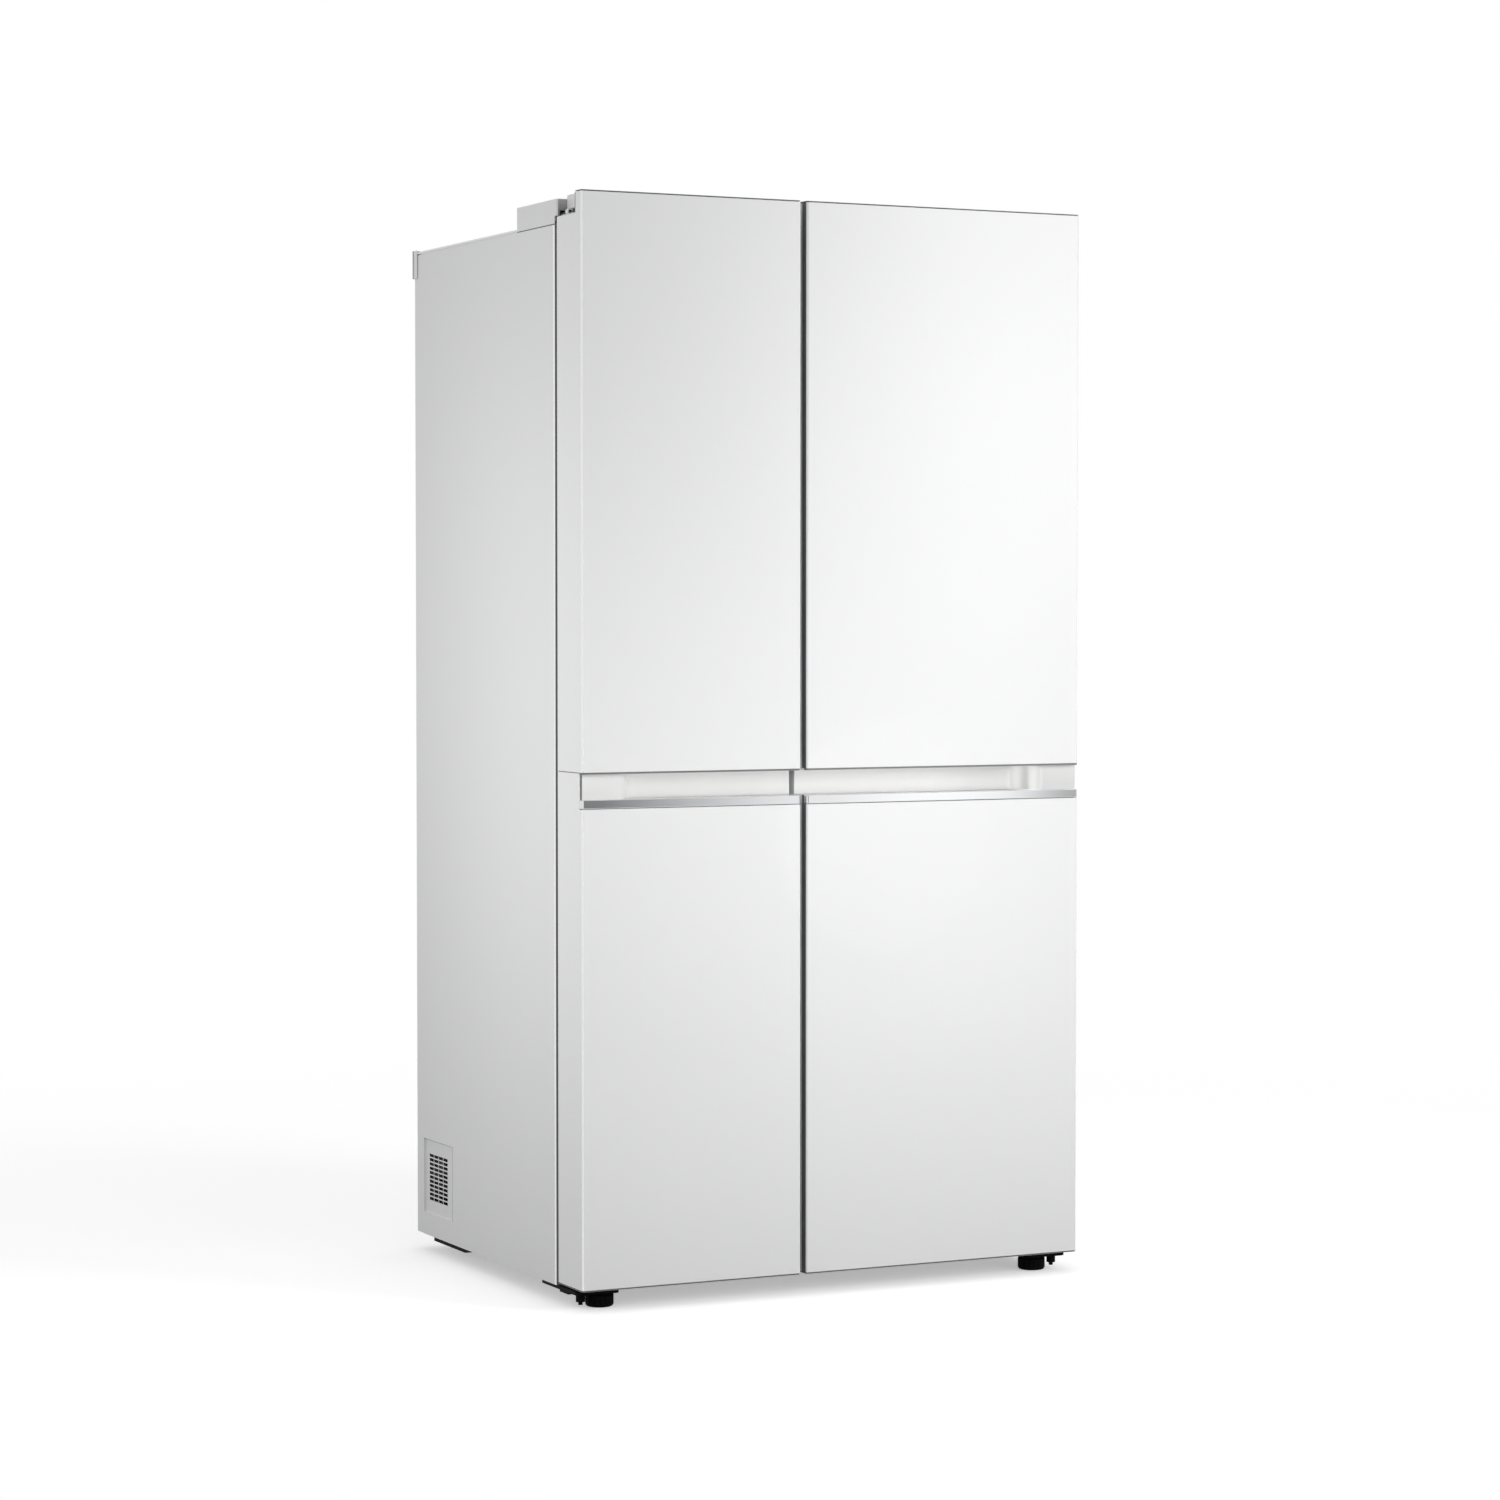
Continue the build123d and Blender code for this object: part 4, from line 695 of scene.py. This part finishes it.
wears = {
    "doorEnamel": [
        "freezer_door_upper_panel", "freezer_door_lower_panel", "fridge_door_upper_panel",
        "fridge_door_lower_panel",
    ],
    "cabinetSheet": ["side_panel_left", "side_panel_right", "top_panel", "mullion_cover"],
    "spacerPlastic": ["rear_spacers"],
    "doorCaps": ["freezer_door_end_caps", "fridge_door_end_caps"],
    "coverPlastic": ["hinge_cover_left", "hinge_cover_right"],
    "ventPlastic": ["side_vents"],
    "pocketPlastic": ["freezer_door_grip_pocket", "fridge_door_grip_pocket"],
    "linerPlastic": [
        "freezer_liner", "fridge_liner", "freezer_door_liner", "fridge_door_liner", "evaporator_cover",
        "fridge_air_duct",
    ],
    "trimMetal": ["freezer_door_grip_trim", "fridge_door_grip_trim"],
    "zincSheet": ["back_panel", "machine_cover"],
    "paleZinc": ["top_hinge_left", "top_hinge_right"],
    "platedSteel": ["fixing_screws"],
    "powderCoat": ["bottom_hinge_left", "bottom_hinge_right", "base_plate", "compressor"],
    "blackPlastic": ["foot_left", "foot_right", "cord_gland", "control_box", "drain_pan"],
    "fanPlastic": [
        "condenser_fan_frame", "evaporator_fan_frame", "condenser_fan_blade", "evaporator_fan_blade",
    ],
    "rollerNylon": ["rear_roller_left", "rear_roller_right"],
    "pouredFoam": ["cabinet_foam", "freezer_door_foam", "fridge_door_foam"],
    "clearStyrene": [
        "freezer_door_bins", "fridge_door_bins", "freezer_lower_drawer", "freezer_upper_drawer",
        "fridge_lower_drawer", "fridge_upper_drawer",
    ],
    "shelfGlass": ["freezer_shelves", "fridge_shelves"],
    "lampOpal": ["compartment_lamps"],
    "coilMetal": ["evaporator", "condenser"],
    "sealVinyl": ["freezer_door_gasket", "fridge_door_gasket"],
}


def dressNodes():
    for finish, names in wears.items():
        for name in names:
            mesh = nodes[name].data
            mesh.materials.clear()
            mesh.materials.append(finishes[finish])
    dressed = {name for names in wears.values() for name in names}
    print("nodes dressed:", len(dressed), "left:", sorted(set(nodes) - dressed))


# geometry trees, each with a named input for every size

def newTree(name, sizes):
    tree = bpy.data.node_groups.new(name, "GeometryNodeTree")
    tree.interface.new_socket("Geometry", in_out="OUTPUT", socket_type="NodeSocketGeometry")
    for label, kind in {"Geometry": "Geometry", **sizes, "Finish": "Material"}.items():
        tree.interface.new_socket(label, in_out="INPUT", socket_type="NodeSocket" + kind)
    start = tree.nodes.new("NodeGroupInput")
    return tree, {label: Wire(tree, start.outputs[label]) for label in ("Geometry", "Finish", *sizes)}


def endTree(tree, shape, finish):
    solid = shape.node("GeometryNodeRealizeInstances", None, {"Geometry": shape})
    smooth = shape.node("GeometryNodeSetShadeSmooth", None, {"Geometry": solid})
    worn = shape.node("GeometryNodeSetMaterial", None, {"Geometry": smooth, "Material": finish})
    tree.links.new(worn.socket, tree.nodes.new("NodeGroupOutput").inputs["Geometry"])
    return tree


def grown(name, tree, seed, finish, **sizes):  # runs a tree on a seed mesh and keeps the plain mesh
    holder = placed(name + "Seed", seed)
    modifier = holder.modifiers.new("grow", "NODES")
    modifier.node_group = tree
    inputs = {item.name: item.identifier for item in tree.interface.items_tree if item.in_out == "INPUT"}
    for label, value in {"Finish": finishes[finish], **sizes}.items():
        modifier[inputs[label]] = value
    ready = holder.evaluated_get(bpy.context.evaluated_depsgraph_get())
    mesh = bpy.data.meshes.new_from_object(ready)
    holder.modifiers.clear()
    bpy.data.objects.remove(holder)
    mesh.name = name
    return placed(name, mesh)


def loops(name, paths, closed=True):  # a mesh of bare edges, one chain for each path
    mesh = bpy.data.meshes.new(name)
    spots = []
    edges = []
    for path in paths:
        first = len(spots)
        spots += path
        edges += [(first + k, first + k + 1) for k in range(len(path) - 1)]
        if closed:
            edges.append((first + len(path) - 1, first))
    mesh.from_pydata(spots, edges, [])
    return mesh


def points(name, spots):
    mesh = bpy.data.meshes.new(name)
    mesh.from_pydata(spots, [], [])
    return mesh


def skinned(name, rings):  # a closed skin over rings of equal length
    size = len(rings[0])
    mesh = bpy.data.meshes.new(name)
    faces = [tuple(reversed(range(size))), tuple(range((len(rings) - 1) * size, len(rings) * size))]
    for row in range(len(rings) - 1):
        low = row * size
        for k in range(size):
            after = (k + 1) % size
            faces.append((low + k, low + after, low + size + after, low + size + k))
    mesh.from_pydata([spot for ring in rings for spot in ring], [], faces)
    return outward(mesh)


def outward(mesh):
    shape = bmesh.new()
    shape.from_mesh(mesh)
    bmesh.ops.recalc_face_normals(shape, faces=shape.faces)
    shape.to_mesh(mesh)
    shape.free()
    return mesh


def settle(piece, body, slot, *covered):
    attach(piece, body)
    if covered:
        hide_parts(*covered)


# soft strip round the back of each door: foot, bellows and magnet head

gaskets = {
    "wide": 0.016, "corner": 0.012, "cornerSteps": 6, "waist": 0.36, "slack": 0.0003, "ringSteps": 32,
    "square": 1.35,
}


def makeGasketTree():
    sizes = {"Wide": "Float", "Deep": "Float", "Corner": "Float", "Waist": "Float"}
    tree, given = newTree("gasketTree", sizes)
    path = given["Geometry"].node("GeometryNodeMeshToCurve", None, {"Mesh": given["Geometry"]})
    corners = {"Curve": path, "Radius": given["Corner"], "Count": gaskets["cornerSteps"]}
    path = path.node("GeometryNodeFilletCurve", {"mode": "POLY"}, corners)
    facing = {"Curve": path, "Normal": (0.0, 1.0, 0.0)}
    path = path.node("GeometryNodeSetCurveNormal", {"mode": "FREE"}, facing)
    circle = {"Resolution": gaskets["ringSteps"], "Radius": 1.0}
    ring = path.node("GeometryNodeCurvePrimitiveCircle", None, circle)
    across, along, up = axes(ring.node("GeometryNodeInputPosition"))
    across = clamped(across * gaskets["square"])
    along = clamped(along * gaskets["square"])
    pinch = 1 - given["Waist"] * (1 - along * along) * (1 - along * along)
    shape = {"X": across * pinch * given["Wide"] / 2, "Y": along * given["Deep"] / 2}
    spot = ring.node("ShaderNodeCombineXYZ", None, shape)
    ring = ring.node("GeometryNodeSetPosition", None, {"Geometry": ring, "Position": spot})
    strip = ring.node("GeometryNodeCurveToMesh", None, {"Curve": path, "Profile Curve": ring})
    return endTree(tree, strip, given["Finish"])


def clamped(value):
    return value.math("MINIMUM", value.math("MAXIMUM", value, -1.0), 1.0)


def makeGaskets():
    tree = makeGasketTree()
    half = gaskets["wide"] / 2
    for door in ("freezer_door", "fridge_door"):
        low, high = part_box(door + "_gasket")
        y = (low.y + high.y) / 2
        left, right, bottom, top = low.x + half, high.x - half, low.z + half, high.z - half
        path = [(left, y, bottom), (right, y, bottom), (right, y, top), (left, y, top)]
        piece = grown(
            door + "_bellows_seal", tree, loops("sealPath", [path]), "sealVinyl", Wide=gaskets["wide"],
            Deep=high.y - low.y - gaskets["slack"], Corner=gaskets["corner"], Waist=gaskets["waist"],
        )
        settle(piece, door, "seal", door + "_gasket")


# round beads along the rims of the bins and drawers

rims = {
    "radius": 0.0019, "inset": 0.00125, "corner": 0.0075, "cornerSteps": 6, "ringSteps": 14,
    "levels": (0.160, 0.520, 0.880, 1.260), "up": 0.110,
}
scoops = {
    "half": 0.060, "deep": 0.022, "radius": 0.0024, "corner": 0.009,
    "drawers": (
        "freezer_lower_drawer", "freezer_upper_drawer", "fridge_lower_drawer", "fridge_upper_drawer",
    ),
}


def makeBeadTree():
    tree, given = newTree("beadTree", {"Radius": "Float", "Corner": "Float"})
    path = given["Geometry"].node("GeometryNodeMeshToCurve", None, {"Mesh": given["Geometry"]})
    corners = {"Curve": path, "Radius": given["Corner"], "Count": rims["cornerSteps"]}
    path = path.node("GeometryNodeFilletCurve", {"mode": "POLY"}, corners)
    circle = {"Resolution": rims["ringSteps"], "Radius": given["Radius"]}
    ring = path.node("GeometryNodeCurvePrimitiveCircle", None, circle)
    bead = ring.node("GeometryNodeCurveToMesh", None, {"Curve": path, "Profile Curve": ring})
    return endTree(tree, bead, given["Finish"])


def makeBinRims(tree):
    inset = rims["inset"]
    for door in ("freezer_door", "fridge_door"):
        low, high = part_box(door + "_bins")
        left, right = low.x + inset, high.x - inset
        front, back = low.y + inset, high.y - inset
        paths = []
        for level in rims["levels"]:
            z = level + rims["up"]
            paths.append([(left, front, z), (right, front, z), (right, back, z), (left, back, z)])
        piece = grown(
            door + "_bin_rims", tree, loops("rimPaths", paths), "shelfPlastic", Radius=rims["radius"],
            Corner=rims["corner"],
        )
        settle(piece, door, "white_plastic")


def makeDrawerRims(tree):
    inset = rims["inset"]
    for drawer in scoops["drawers"]:
        low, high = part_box(drawer)
        left, right = low.x + inset, high.x - inset
        front, back = low.y + inset * 2, high.y - inset
        middle = (left + right) / 2
        top, dip = high.z, high.z - scoops["deep"]
        path = [(left, front, top)]
        path += [(middle - scoops["half"], front, z) for z in (top, dip)]
        path += [(middle + scoops["half"], front, z) for z in (dip, top)]
        path += [(right, front, top), (right, back, top), (left, back, top)]
        piece = grown(
            drawer + "_rim", tree, loops("rimPath", [path]), "shelfPlastic", Radius=scoops["radius"],
            Corner=scoops["corner"],
        )
        settle(piece, drawer, "white_plastic")


# cross-head screws on the hinges and the back cover

screws = {
    "top": ((0.028, 0.150), (0.098, 0.150), (0.063, 0.225)), "topSeat": 1.7465, "topRadius": 0.0045,
    "bottom": ((0.020, 0.165), (0.041, 0.130), (0.062, 0.165)), "bottomSeat": 0.0235,
    "bottomRadius": 0.0050, "coverSides": (0.060, 0.4565, 0.853), "coverLevels": (0.0445, 0.252),
    "coverRadius": 0.0040, "steps": 24,
    "dome": ((0.3, 0.62), (0.6, 0.55), (0.85, 0.38), (0.97, 0.2), (1.0, 0.06), (1.0, 0.0)),
    "shank": ((0.55, 0.0), (0.55, -0.7), (0.2, -0.95)), "crossLong": 1.1, "crossWide": 0.2,
    "crossFloor": 0.22,
}


def makeScrewHead():  # one screw of radius 1 that stands up along z
    steps = screws["steps"]
    rings = []
    for radius, height in screws["dome"] + screws["shank"]:
        turn = [2 * math.pi * k / steps for k in range(steps)]
        rings.append([(radius * math.cos(a), radius * math.sin(a), height) for a in turn])
    head = placed("screwHead", skinned("screwHead", rings))
    cutters = [crossArm(turned) for turned in (False, True)]
    for cutter in cutters:
        cut = head.modifiers.new("cross", "BOOLEAN")
        cut.operation = "DIFFERENCE"
        cut.object = cutter
    mesh = bpy.data.meshes.new_from_object(head.evaluated_get(bpy.context.evaluated_depsgraph_get()))
    head.modifiers.clear()
    head.data = mesh
    for cutter in cutters:
        bpy.data.objects.remove(cutter)
    return head


def crossArm(turned):
    half = (screws["crossLong"] / 2, screws["crossWide"] / 2)
    x, y = reversed(half) if turned else half
    rings = [[(-x, -y, z), (x, -y, z), (x, y, z), (-x, y, z)] for z in (screws["crossFloor"], 1.0)]
    return placed("crossArm", skinned("crossArm", rings))


def makeScrewTree():
    tree, given = newTree("screwTree", {"Screw": "Object"})
    piece = given["Screw"].node("GeometryNodeObjectInfo", None, {"Object": given["Screw"]}, "Geometry")
    named = "GeometryNodeInputNamedAttribute"
    facing = piece.node(named, {"data_type": "FLOAT_VECTOR"}, {"Name": "facing"})
    radius = piece.node(named, {"data_type": "FLOAT"}, {"Name": "radius"})
    turn = facing.node("FunctionNodeAlignRotationToVector", {"axis": "Z"}, {"Vector": facing})
    size = radius.node("ShaderNodeCombineXYZ", None, {"X": radius, "Y": radius, "Z": radius})
    places = {"Points": given["Geometry"], "Instance": piece, "Rotation": turn, "Scale": size}
    return endTree(tree, piece.node("GeometryNodeInstanceOnPoints", None, places), given["Finish"])


def screwPlaces():  # place, facing and radius of every screw
    corner = Vector((cadBox[0].x, cadBox[0].y, 0))
    wide = cadBox[1].x - cadBox[0].x
    found = []
    for end, facing in (("top", (0, 0, 1)), ("bottom", (0, 0, -1))):
        for x, y in screws[end]:
            for side in (x, wide - x):
                place = corner + Vector((side, y, screws[end + "Seat"]))
                found.append((place, facing, screws[end + "Radius"]))
    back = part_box("machine_cover")[1].y - corner.y
    for z in screws["coverLevels"]:
        for x in screws["coverSides"]:
            found.append((corner + Vector((x, back, z)), (0, 1, 0), screws["coverRadius"]))
    return found


def makeScrews():
    found = screwPlaces()
    seed = points("screwPlaces", [place for place, facing, radius in found])
    seed.attributes.new("facing", "FLOAT_VECTOR", "POINT")
    seed.attributes.new("radius", "FLOAT", "POINT")
    for k, (place, facing, radius) in enumerate(found):
        seed.attributes["facing"].data[k].vector = facing
        seed.attributes["radius"].data[k].value = radius
    head = makeScrewHead()
    piece = grown("cross_head_screws", makeScrewTree(), seed, "platedSteel", Screw=head)
    bpy.data.objects.remove(head)
    settle(piece, "cabinet", "zinc_steel", "fixing_screws")


# rows of a piece: a line of copies from every seed point

def makeRowTree():
    tree, given = newTree("rowTree", {"Piece": "Object", "Count": "Int", "Step": "Vector"})
    piece = given["Piece"].node("GeometryNodeObjectInfo", None, {"Object": given["Piece"]}, "Geometry")
    line = piece.node("GeometryNodeMeshLine", None, {"Count": given["Count"], "Offset": given["Step"]})
    row = line.node("GeometryNodeInstanceOnPoints", None, {"Points": line, "Instance": piece})
    rows = row.node("GeometryNodeInstanceOnPoints", None, {"Points": given["Geometry"], "Instance": row})
    return endTree(tree, rows, given["Finish"])


def repeated(name, tree, mesh, spots, finish, count=1, step=(0.0, 0.0, 0.0)):
    single = placed(name + "Single", mesh)
    piece = grown(name, tree, points(name + "Spots", spots), finish, Piece=single, Count=count, Step=step)
    bpy.data.objects.remove(single)
    return piece


# pressed hoods over the slots of the rear cover

louvres = {
    "middles": (-0.2215, 0.2185), "long": 0.230, "first": 0.0835, "pitch": 0.016, "count": 9, "out": 0.0042,
    "top": 0.0062, "lip": -0.0030, "wall": 0.0008, "thinnest": 0.2, "end": 0.012,
    "endAngles": (86, 72, 54, 36, 18, 0), "skinAngles": (0, 15, 30, 45, 60, 75, 90),
}


def makeLouvreHoods(tree):
    flat = louvres["long"] / 2 - louvres["end"]
    ends = [math.radians(a) for a in louvres["endAngles"]]
    stations = [(-flat - louvres["end"] * math.sin(a), math.cos(a)) for a in ends]
    stations += [(-x, full) for x, full in reversed(stations)]
    rings = [hoodRing(x, full) for x, full in stations]
    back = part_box("machine_cover")[1].y
    spots = [(x, back, louvres["first"]) for x in louvres["middles"]]
    step = (0.0, 0.0, louvres["pitch"])
    hood = skinned("hood", rings)
    piece = repeated("louvre_hoods", tree, hood, spots, "zincSheet", louvres["count"], step)
    settle(piece, "cabinet", "zinc_steel")


def hoodRing(x, full):  # the hood's section at x, from the root over the skin to the lip and back inside
    angles = [math.radians(a) for a in louvres["skinAngles"]]
    rise = louvres["top"] - louvres["lip"]
    outer = [louvres["out"] * full, rise * full]
    inner = [max(size - louvres["wall"], size * louvres["thinnest"]) for size in outer]
    return hoodArc(x, outer, angles) + hoodArc(x, inner, reversed(angles))


def hoodArc(x, size, angles):
    out, rise = size
    return [(x, out * math.sin(a), louvres["lip"] + rise * math.cos(a)) for a in angles]


# glass shelves with white edge trims

shelves = {
    "freezer_shelves": (0.522, 0.800, 1.080, 1.360), "fridge_shelves": (0.552, 0.800, 1.070, 1.345),
    "glass": 0.004, "frontIn": 0.005, "backIn": 0.004, "lip": (0.017, -0.008, 0.010),
    "bar": (0.010, 0.0, 0.014), "edge": 0.0006, "lipRadius": 0.003, "barRadius": 0.002, "cornerSteps": 5,
}


def roundedSection(y0, y1, z0, z1, radius):
    spots = []
    for y, z, start in ((y1, z1, 0), (y0, z1, 90), (y0, z0, 180), (y1, z0, 270)):
        inY = y - radius if y == y1 else y + radius
        inZ = z - radius if z == z1 else z + radius
        for k in range(shelves["cornerSteps"] + 1):
            a = math.radians(start + 90 / shelves["cornerSteps"] * k)
            spots.append((inY + radius * math.cos(a), inZ + radius * math.sin(a)))
    return spots


def barAlong(name, x0, x1, y0, y1, z0, z1, radius):  # a rounded bar along x with eased ends
    ease = radius / 3
    rings = []
    for x, less in ((x0, ease), (x0 + ease, 0.0), (x1 - ease, 0.0), (x1, ease)):
        section = roundedSection(y0 + less, y1 - less, z0 + less, z1 - less, radius)
        rings.append([(x, y, z) for y, z in section])
    return skinned(name, rings)


def joined(name, meshes):
    shape = bmesh.new()
    for mesh in meshes:
        shape.from_mesh(mesh)
    whole = bpy.data.meshes.new(name)
    shape.to_mesh(whole)
    shape.free()
    return whole


def makeShelves(tree):
    for room in ("freezer_shelves", "fridge_shelves"):
        low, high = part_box(room)
        front = low.y + shelves["frontIn"]
        back = high.y - shelves["backIn"]
        plate = barAlong("plate", low.x, high.x, front, back, 0.0, shelves["glass"], shelves["edge"])
        deep, down, up = shelves["lip"]
        lip = barAlong("lip", low.x, high.x, low.y, low.y + deep, down, up, shelves["lipRadius"])
        deep, down, up = shelves["bar"]
        bar = barAlong("bar", low.x, high.x, high.y - deep, high.y, down, up, shelves["barRadius"])
        spots = [(0.0, 0.0, level) for level in shelves[room]]
        glass = repeated(room + "_glass", tree, plate, spots, "shelfGlass")
        trims = repeated(room + "_trims", tree, joined("trims", [lip, bar]), spots, "shelfPlastic")
        settle(glass, "cabinet", "shelf_glass", room)
        settle(trims, "cabinet", "white_plastic", room)


# studio: white floor that keeps the shadow, white surroundings, soft boxes

studio = {
    "floorSize": 9.0, "fadeFrom": 1.6, "fadeTo": 3.2, "ambient": 0.596, "paint": (0.9, 0.9, 0.9),
    "bounce": (0.28, 0.28, 0.28), "lift": 0.42,
}
softBoxes = {
    "keyBox": {
        "place": (2.6, -3.6, 2.0), "aim": (0.3, -0.37, 1.0), "size": (1.5, 1.5), "watts": 16.7,
        "spread": 90, "mirrored": True,
    },
    "bandBox": {
        "place": (0.8, -3.4, 0.75), "aim": (0.1, -0.37, 0.75), "size": (1.6, 0.6), "watts": 1.74,
        "spread": 38, "mirrored": True,
    },
    "sideBox": {
        "place": (-2.4, -0.36, 0.95), "aim": (-0.45, -0.22, 0.94), "size": (0.4, 0.9), "watts": 2.0,
        "spread": 66, "mirrored": False,
    },
}
mirrorCards = {
    "frontCard": {
        "from": (-0.5, -3.0), "to": (2.9, -3.0), "heights": (0.05, 2.3),
        "stops": (
            (0.0, 1.0), (0.16, 0.2), (0.365, 0.23), (0.509, 1.08), (0.535, 1.06), (0.6, 1.33), (0.65, 1.36),
            (0.69, 1.2), (0.735, 0.58), (0.8, 0.3), (1.0, 0.9),
        ),
    },
}


def seenDirect(path):  # 1 for the rays that look at the background
    seen = path.math("MAXIMUM", path, Wire(path.tree, path.socket.node.outputs["Is Glossy Ray"]))
    return path.math("MAXIMUM", seen, Wire(path.tree, path.socket.node.outputs["Is Transmission Ray"]))


def setWorld():
    world = bpy.data.worlds.new("studio")
    world.use_nodes = True
    scene.world = world
    tree = world.node_tree
    tree.nodes.clear()
    path = Wire(tree, tree.nodes.new("ShaderNodeLightPath").outputs["Is Camera Ray"])
    seen = seenDirect(path)
    light = seen.node("ShaderNodeBackground", None, {"Strength": seen + (1 - seen) * studio["ambient"]})
    light.socket.node.inputs["Color"].default_value = (1.0, 1.0, 1.0, 1.0)
    tree.links.new(light.socket, tree.nodes.new("ShaderNodeOutputWorld").inputs["Surface"])


def newPaint(name):  # a material with an empty tree
    paint = bpy.data.materials.new(name)
    paint.use_nodes = True
    paint.node_tree.nodes.clear()
    return paint, paint.node_tree


def sheet(name, corners):  # a mesh of one face
    mesh = bpy.data.meshes.new(name)
    mesh.from_pydata(corners, [], [(0, 1, 2, 3)])
    return mesh


def setFloor():
    half = studio["floorSize"] / 2
    mesh = sheet("studioFloor", [(-half, -half, 0), (half, -half, 0), (half, half, 0), (-half, half, 0)])
    mesh.materials.append(makeFloorPaint())
    floor = placed("studioFloor", mesh)


def makeFloorPaint():
    paint, tree = newPaint("floorPaint")
    place = Wire(tree, tree.nodes.new("ShaderNodeTexCoord").outputs["Object"])
    away = place.node("ShaderNodeVectorMath", {"operation": "LENGTH"}, {0: place}, 1)
    fade = ramped(away, studio["fadeFrom"], studio["fadeTo"])
    path = Wire(tree, tree.nodes.new("ShaderNodeLightPath").outputs["Is Camera Ray"])
    seen = seenDirect(path)
    colour = mixed(seen, studio["bounce"], studio["paint"])
    matt = place.node("ShaderNodeBsdfDiffuse", None, {"Color": colour})
    lift = place.node("ShaderNodeEmission", None, {"Strength": seen * studio["lift"]})
    near = place.node("ShaderNodeAddShader", None, {0: matt, 1: lift})
    glow = place.node("ShaderNodeEmission", None, {"Strength": 1.0})
    blend = place.node("ShaderNodeMixShader", None, {0: fade * seen, 1: near, 2: glow})
    tree.links.new(blend.socket, tree.nodes.new("ShaderNodeOutputMaterial").inputs["Surface"])
    return paint


def setLamps():
    for name, values in softBoxes.items():
        data = bpy.data.lights.new(name, "AREA")
        data.shape = "RECTANGLE"
        data.size, data.size_y = values["size"]
        data.energy = values["watts"]
        data.spread = math.radians(values["spread"])
        lamp = placed(name, data)
        lamp.location = values["place"]
        way = Vector(values["aim"]) - Vector(values["place"])
        lamp.rotation_euler = way.to_track_quat("-Z", "Y").to_euler()
        lamp.visible_camera = False
        lamp.visible_glossy = values["mirrored"]


def setMirrorCard(name):  # an upright card, graded from side to side, that only shiny surfaces see
    values = mirrorCards[name]
    low, high = values["heights"]
    start, end = values["from"], values["to"]
    mesh = sheet(name, [(*start, low), (*end, low), (*end, high), (*start, high)])
    across = mesh.attributes.new("across", "FLOAT", "POINT")
    for k, share in enumerate((0.0, 1.0, 1.0, 0.0)):
        across.data[k].value = share
    mesh.materials.append(makeCardPaint(name + "Paint", values["stops"]))
    card = placed(name, mesh)
    card.visible_camera = False
    card.visible_diffuse = False
    card.visible_shadow = False


def makeCardPaint(name, levels):
    paint, tree = newPaint(name)
    share = Wire(tree, tree.nodes.new("ShaderNodeAttribute").outputs["Fac"])
    share.socket.node.attribute_name = "across"
    brightest = max(level for where, level in levels)
    stops = [(where, (level / brightest,) * 3) for where, level in levels]
    grade = share.node("ShaderNodeValToRGB", {"stops": stops}, {0: share})
    glow = grade.node("ShaderNodeEmission", None, {"Color": grade, "Strength": brightest})
    tree.links.new(glow.socket, tree.nodes.new("ShaderNodeOutputMaterial").inputs["Surface"])
    return paint


setCamera()
dressNodes()
makeGaskets()
beadTree = makeBeadTree()
makeBinRims(beadTree)
makeDrawerRims(beadTree)
makeScrews()
rowTree = makeRowTree()
makeLouvreHoods(rowTree)
makeShelves(rowTree)
print("pieces made")
setWorld()
setFloor()
setLamps()
for name in mirrorCards:
    setMirrorCard(name)
scene.view_settings.view_transform = "Standard"
print("studio set")
